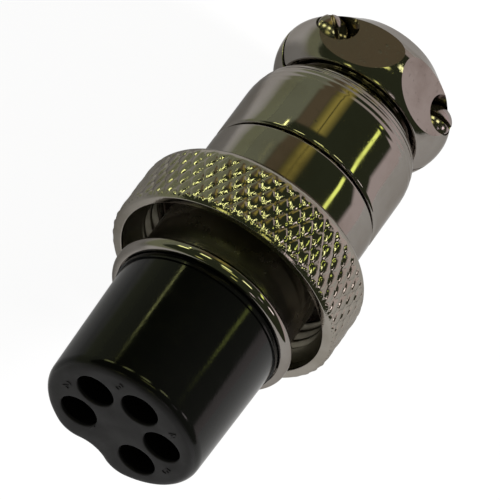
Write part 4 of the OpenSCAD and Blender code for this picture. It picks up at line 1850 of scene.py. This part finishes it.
@dataclass
class Studio:
    """Pale floor, canopy with a dark side towards the camera, lamps, soft light and the camera.

    Attributes:
        ring_touch: x and z where the ring stands on the floor.
        clamp_touch: x and z where the clamp stands on the floor.
        middle_x: Station of the part's middle.
        floor_half: Half width of the floor in metres.
        paper: Colour of the floor.
        paper_shade: Colour of the floor's +Y side, a painted shadow of the part.
        paper_rough: Roughness of the floor.
        paper_light: Strength of the floor's own light.
        shade_y: Distances from the part's middle between which the floor's painted shadow fades in.
        camera_glow: Share of its own light in the floor that the camera sees.
        mirror_glow: Share of its own light in the floor that reflections see, fading to none across the
            painted shadow.
        canopy_r: Radius of the canopy in metres.
        canopy_low_deg: Height of the canopy's lower edge, as an angle in degrees.
        canopy_rows: Points from the lower edge to the top.
        canopy_columns: Points round the canopy.
        wall_left: Colour of the pale surroundings on the +Y side.
        wall_right: Colour of the pale surroundings on the -Y side.
        wall_turn: y of the directions between which the left colour turns into the right one.
        dark: Colour of the dark room round the camera.
        dark_middle: Direction of the dark room's middle.
        dark_deg: Angle from its middle to its edge.
        dark_soft: Half width of its soft edge in radians.
        sun_place: Place that the sun shines from, in metres.
        sun_deg: Width of the sun in degrees.
        sun_energy: Strength of the sun.
        room_light: Light of the world on matt surfaces.
        room_seen: Light of the world that the camera and reflections see.
        camera_right: The camera's right.
        camera_up: The camera's up.
        camera_back: Direction from the part to the camera.
        camera_pivot: Point that the camera's offsets start from.
        camera_shift: Offsets to the right and up.
        camera_distance: Distance of the camera.
        camera_clip: Nearest and farthest distance that the camera sees, in metres.
        lens: Focal length in millimetres.
        sensor: Width of the sensor in millimetres.
    """

    ring_touch: Pair = (17.9, -9.3)
    clamp_touch: Pair = (35.2, -7.14)
    middle_x: float = 19.0
    floor_half: float = 0.9
    paper: Colour = (0.8, 0.79, 0.78)
    paper_shade: Colour = (0.4, 0.43, 0.28)
    paper_rough: float = 0.9
    paper_light: float = 1.12
    shade_y: Pair = (22.0, 44.0)
    camera_glow: float = 0.84
    mirror_glow: float = 0.2
    canopy_r: float = 0.6
    canopy_low_deg: float = -12.0
    canopy_rows: int = 24
    canopy_columns: int = 64
    wall_left: Colour = (0.26, 0.28, 0.19)
    wall_right: Colour = (0.74, 0.64, 0.63)
    wall_turn: Pair = (0.6, -0.4)
    dark: Colour = (0.042, 0.05, 0.027)
    dark_middle: Triple = (-0.53, -0.067, 0.845)
    dark_deg: float = 85.0
    dark_soft: float = 0.03
    sun_place: Triple = (0.12, -0.48, 0.22)
    sun_deg: float = 16.0
    sun_energy: float = 3.9
    room_light: Colour = (0.22, 0.22, 0.21)
    room_seen: Colour = (1.0, 1.0, 1.0)
    camera_right: Triple = (0.5013, -0.7551, 0.4225)
    camera_up: Triple = (0.6840, 0.6449, 0.3410)
    camera_back: Triple = (-0.5299, 0.1181, 0.8398)
    camera_pivot: Triple = (-0.8, 0.0, 0.0)
    camera_shift: Pair = (9.70, 13.08)
    camera_distance: float = 435.0
    camera_clip: Pair = (0.01, 10.0)
    lens: float = 441.0
    sensor: float = 36.0

    def slope(self) -> float:
        """Slope of the floor against the part's axis, as the part lies on its ring and its clamp."""
        rise = self.clamp_touch[1] - self.ring_touch[1]
        return math.atan2(rise, self.clamp_touch[0] - self.ring_touch[0])

    def floor_point(self) -> Vector:
        """Point of the floor under the middle of the part, in metres."""
        rise = (self.middle_x - self.ring_touch[0]) * math.tan(self.slope())
        return Vector((self.middle_x, 0.0, self.ring_touch[1] + rise)) * MM

    def floor_material(self) -> bpy.types.Material:
        """Make the paper: nearly white to the camera, with less light of its own in reflections, and a
        painted shadow on its +Y side.

        Returns:
            The material.
        """
        material, desk, shader = new_material("white_paper")
        start, end = self.shade_y
        # Painted shadow: towards +Y the floor's colour darkens and reflections lose its own light.
        painted_shadow = desk.spread(desk.split(desk.object_coords())["Y"], start * MM, end * MM)
        colour = desk.mix(MixKind.COLOUR, painted_shadow, self.paper, self.paper_shade)
        desk.feed(shader.inputs["Base Color"], colour)
        desk.feed(shader.inputs["Roughness"], self.paper_rough)
        glow = desk.add("ShaderNodeEmission", {"Strength": self.paper_light})
        path = desk.add("ShaderNodeLightPath")
        mirror_glow = desk.spread(painted_shadow, 0.0, 1.0, self.mirror_glow, 0.0)
        mirrored = desk.calculate("MULTIPLY", path.outputs["Is Glossy Ray"], mirror_glow)
        share = desk.calculate("MULTIPLY_ADD", desk.direct_rays(path), self.camera_glow, mirrored)
        desk.show_mixed("Material Output", share, shader.outputs["BSDF"], glow.outputs["Emission"])
        return material

    def make_floor(self) -> None:
        """Lay the floor that the ring and the clamp stand on."""
        side = self.floor_half
        corners = ((-side, -side, 0.0), (side, -side, 0.0), (side, side, 0.0), (-side, side, 0.0))
        stage = Matrix.Translation(self.floor_point()) @ Matrix.Rotation(-self.slope(), 4, "Y")
        floor = mesh_object("floor", [tuple(stage @ Vector(corner)) for corner in corners], [[0, 1, 2, 3]])
        floor.data.materials.append(self.floor_material())

    def canopy_material(self, lamps: list[Lamp]) -> bpy.types.Material:
        """Make the canopy's light: pale walls, a dark room over them, and the lamps one by one.

        Args:
            lamps: Lamps on the canopy.

        Returns:
            The material.
        """
        material, desk, shader = new_material("dark_room")
        nodes = material.node_tree.nodes
        nodes.remove(shader)
        toward = desk.add("ShaderNodeVectorMath", {0: desk.object_coords()}, operation="NORMALIZE")
        parts = desk.split(toward.outputs["Vector"])
        wall_share = desk.spread(parts["Y"], *self.wall_turn)
        wall = desk.mix(MixKind.COLOUR, wall_share, self.wall_left, self.wall_right)
        facing = desk.add("ShaderNodeVectorMath", {0: toward.outputs["Vector"]}, operation="DOT_PRODUCT")
        facing.inputs[1].default_value = self.dark_middle
        edge = math.radians(self.dark_deg)
        outside = math.cos(edge + self.dark_soft)
        in_room = desk.spread(facing.outputs["Value"], outside, math.cos(edge - self.dark_soft))
        light = desk.mix(MixKind.COLOUR, in_room, wall, self.dark)
        turn = desk.calculate("ARCTAN2", parts["Y"], parts["Z"])
        for lamp in lamps:
            wide = math.radians(lamp.half_deg + lamp.soft_deg)
            narrow = math.radians(lamp.half_deg - lamp.soft_deg)
            across = desk.spread(desk.distance(turn, math.radians(lamp.turn_deg)), wide, narrow)
            long = lamp.half_reach + lamp.soft_reach
            short = lamp.half_reach - lamp.soft_reach
            along = desk.spread(desk.distance(parts["X"], lamp.reach), long, short)
            lit = desk.calculate("MULTIPLY", across, along)
            light = desk.mix(MixKind.COLOUR, lit, light, lamp.colour)
        glow = desk.add("ShaderNodeEmission", {"Color": light})
        desk.feed(nodes["Material Output"].inputs["Surface"], glow.outputs["Emission"])
        return material

    def make_canopy(self, lamps: list[Lamp]) -> None:
        """Hang the canopy, which only reflections see.

        Args:
            lamps: Lamps on the canopy.
        """
        height = np.radians(np.linspace(self.canopy_low_deg, 90.0, self.canopy_rows))[:, None]
        turn = full_circle(self.canopy_columns)[None, :]
        x = self.canopy_r * np.cos(height) * np.cos(turn)
        y = self.canopy_r * np.cos(height) * np.sin(turn)
        z = np.broadcast_to(self.canopy_r * np.sin(height), x.shape)
        faces = grid_faces(self.canopy_rows, self.canopy_columns, False, True)
        canopy = mesh_object("canopy", np.stack([x, y, z], axis=-1).reshape(-1, 3).tolist(), faces.tolist())
        canopy.matrix_world = Matrix.Translation(self.floor_point())
        canopy.data.materials.append(self.canopy_material(lamps))
        canopy.visible_camera = False
        canopy.visible_diffuse = False
        canopy.visible_shadow = False
        canopy.visible_transmission = False

    def make_sun(self) -> None:
        """Set a low soft sun at the part's -Y side."""
        data = bpy.data.lights.new("soft_light", "SUN")
        data.angle = math.radians(self.sun_deg)
        data.energy = self.sun_energy
        place = Vector(self.sun_place)
        turn = (place - self.floor_point()).to_track_quat("Z", "Y").to_matrix().to_4x4()
        lamp = link_object("soft_light", data)
        lamp.matrix_world = Matrix.Translation(place) @ turn
        lamp.visible_glossy = False

    def make_world(self) -> None:
        """Give the world an even grey light that is white where the camera or a reflection sees it."""
        world = bpy.data.worlds.new("pale_room")
        bpy.context.scene.world = world
        world.use_nodes = True
        desk = NodeDesk(world.node_tree)
        grey = world.node_tree.nodes["Background"]
        desk.feed(grey.inputs["Color"], self.room_light)
        white = desk.add("ShaderNodeBackground", {"Color": self.room_seen})
        path = desk.add("ShaderNodeLightPath")
        seen = desk.calculate("MAXIMUM", desk.direct_rays(path), path.outputs["Is Glossy Ray"])
        desk.show_mixed("World Output", seen, grey.outputs["Background"], white.outputs["Background"])

    def make_camera(self) -> None:
        """Place the camera as it was fitted to the photograph."""
        data = bpy.data.cameras.new("camera")
        data.sensor_width = self.sensor
        data.lens = self.lens
        data.clip_start, data.clip_end = self.camera_clip
        right = Vector(self.camera_right)
        up = Vector(self.camera_up)
        back = Vector(self.camera_back)
        place = Vector(self.camera_pivot) + right * self.camera_shift[0] + up * self.camera_shift[1]
        place = (place + back * self.camera_distance) * MM
        turn = Matrix((right, up, back)).transposed().to_4x4()
        camera = link_object("camera", data)
        camera.matrix_world = Matrix.Translation(place) @ turn
        bpy.context.scene.camera = camera

    def build(self, lamps: list[Lamp]) -> None:
        """Make the camera, the floor, the canopy and the light.

        Args:
            lamps: Lamps on the canopy.
        """
        self.make_camera()
        self.make_floor()
        self.make_canopy(lamps)
        self.make_sun()
        self.make_world()


def dress_cad_node(name: str, finish: bpy.types.Material) -> None:
    """Give a CAD node that stays in view its finish.

    Args:
        name: Name of the node.
        finish: Its material.
    """
    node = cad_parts[name]
    node.data.materials.clear()
    node.data.materials.append(finish)
    LOG.info("%s keeps its CAD shape", name)


def main() -> None:
    """Build the studio, then every piece, and finish the CAD nodes that stay in view."""
    logging.basicConfig(level=logging.INFO, format="%(message)s")
    bpy.context.scene.view_settings.view_transform = "Standard"
    Studio().build(LAMPS)
    finishes = Finishes.make()
    InsertMoulding().make(finishes)
    FrontSleeve().make(finishes)
    FaceNumerals().make(finishes)
    CouplingRing().make(finishes)
    RearShell().make(finishes)
    clamp = CableClamp()
    clamp.make(finishes)
    ClampScrew(ScrewSide.LEFT, (clamp.screw_x, clamp.screw_y), slot_deg=44.0).make(finishes)
    ClampScrew(ScrewSide.RIGHT, (clamp.screw_x, -clamp.screw_y), slot_deg=97.0).make(finishes)
    for name in sorted(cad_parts):
        if name.startswith(CONTACT_PREFIX):
            dress_cad_node(name, finishes.contact)
        elif name in STEEL_NODES:
            dress_cad_node(name, finishes.steel)


if __name__ == "__main__":
    main()
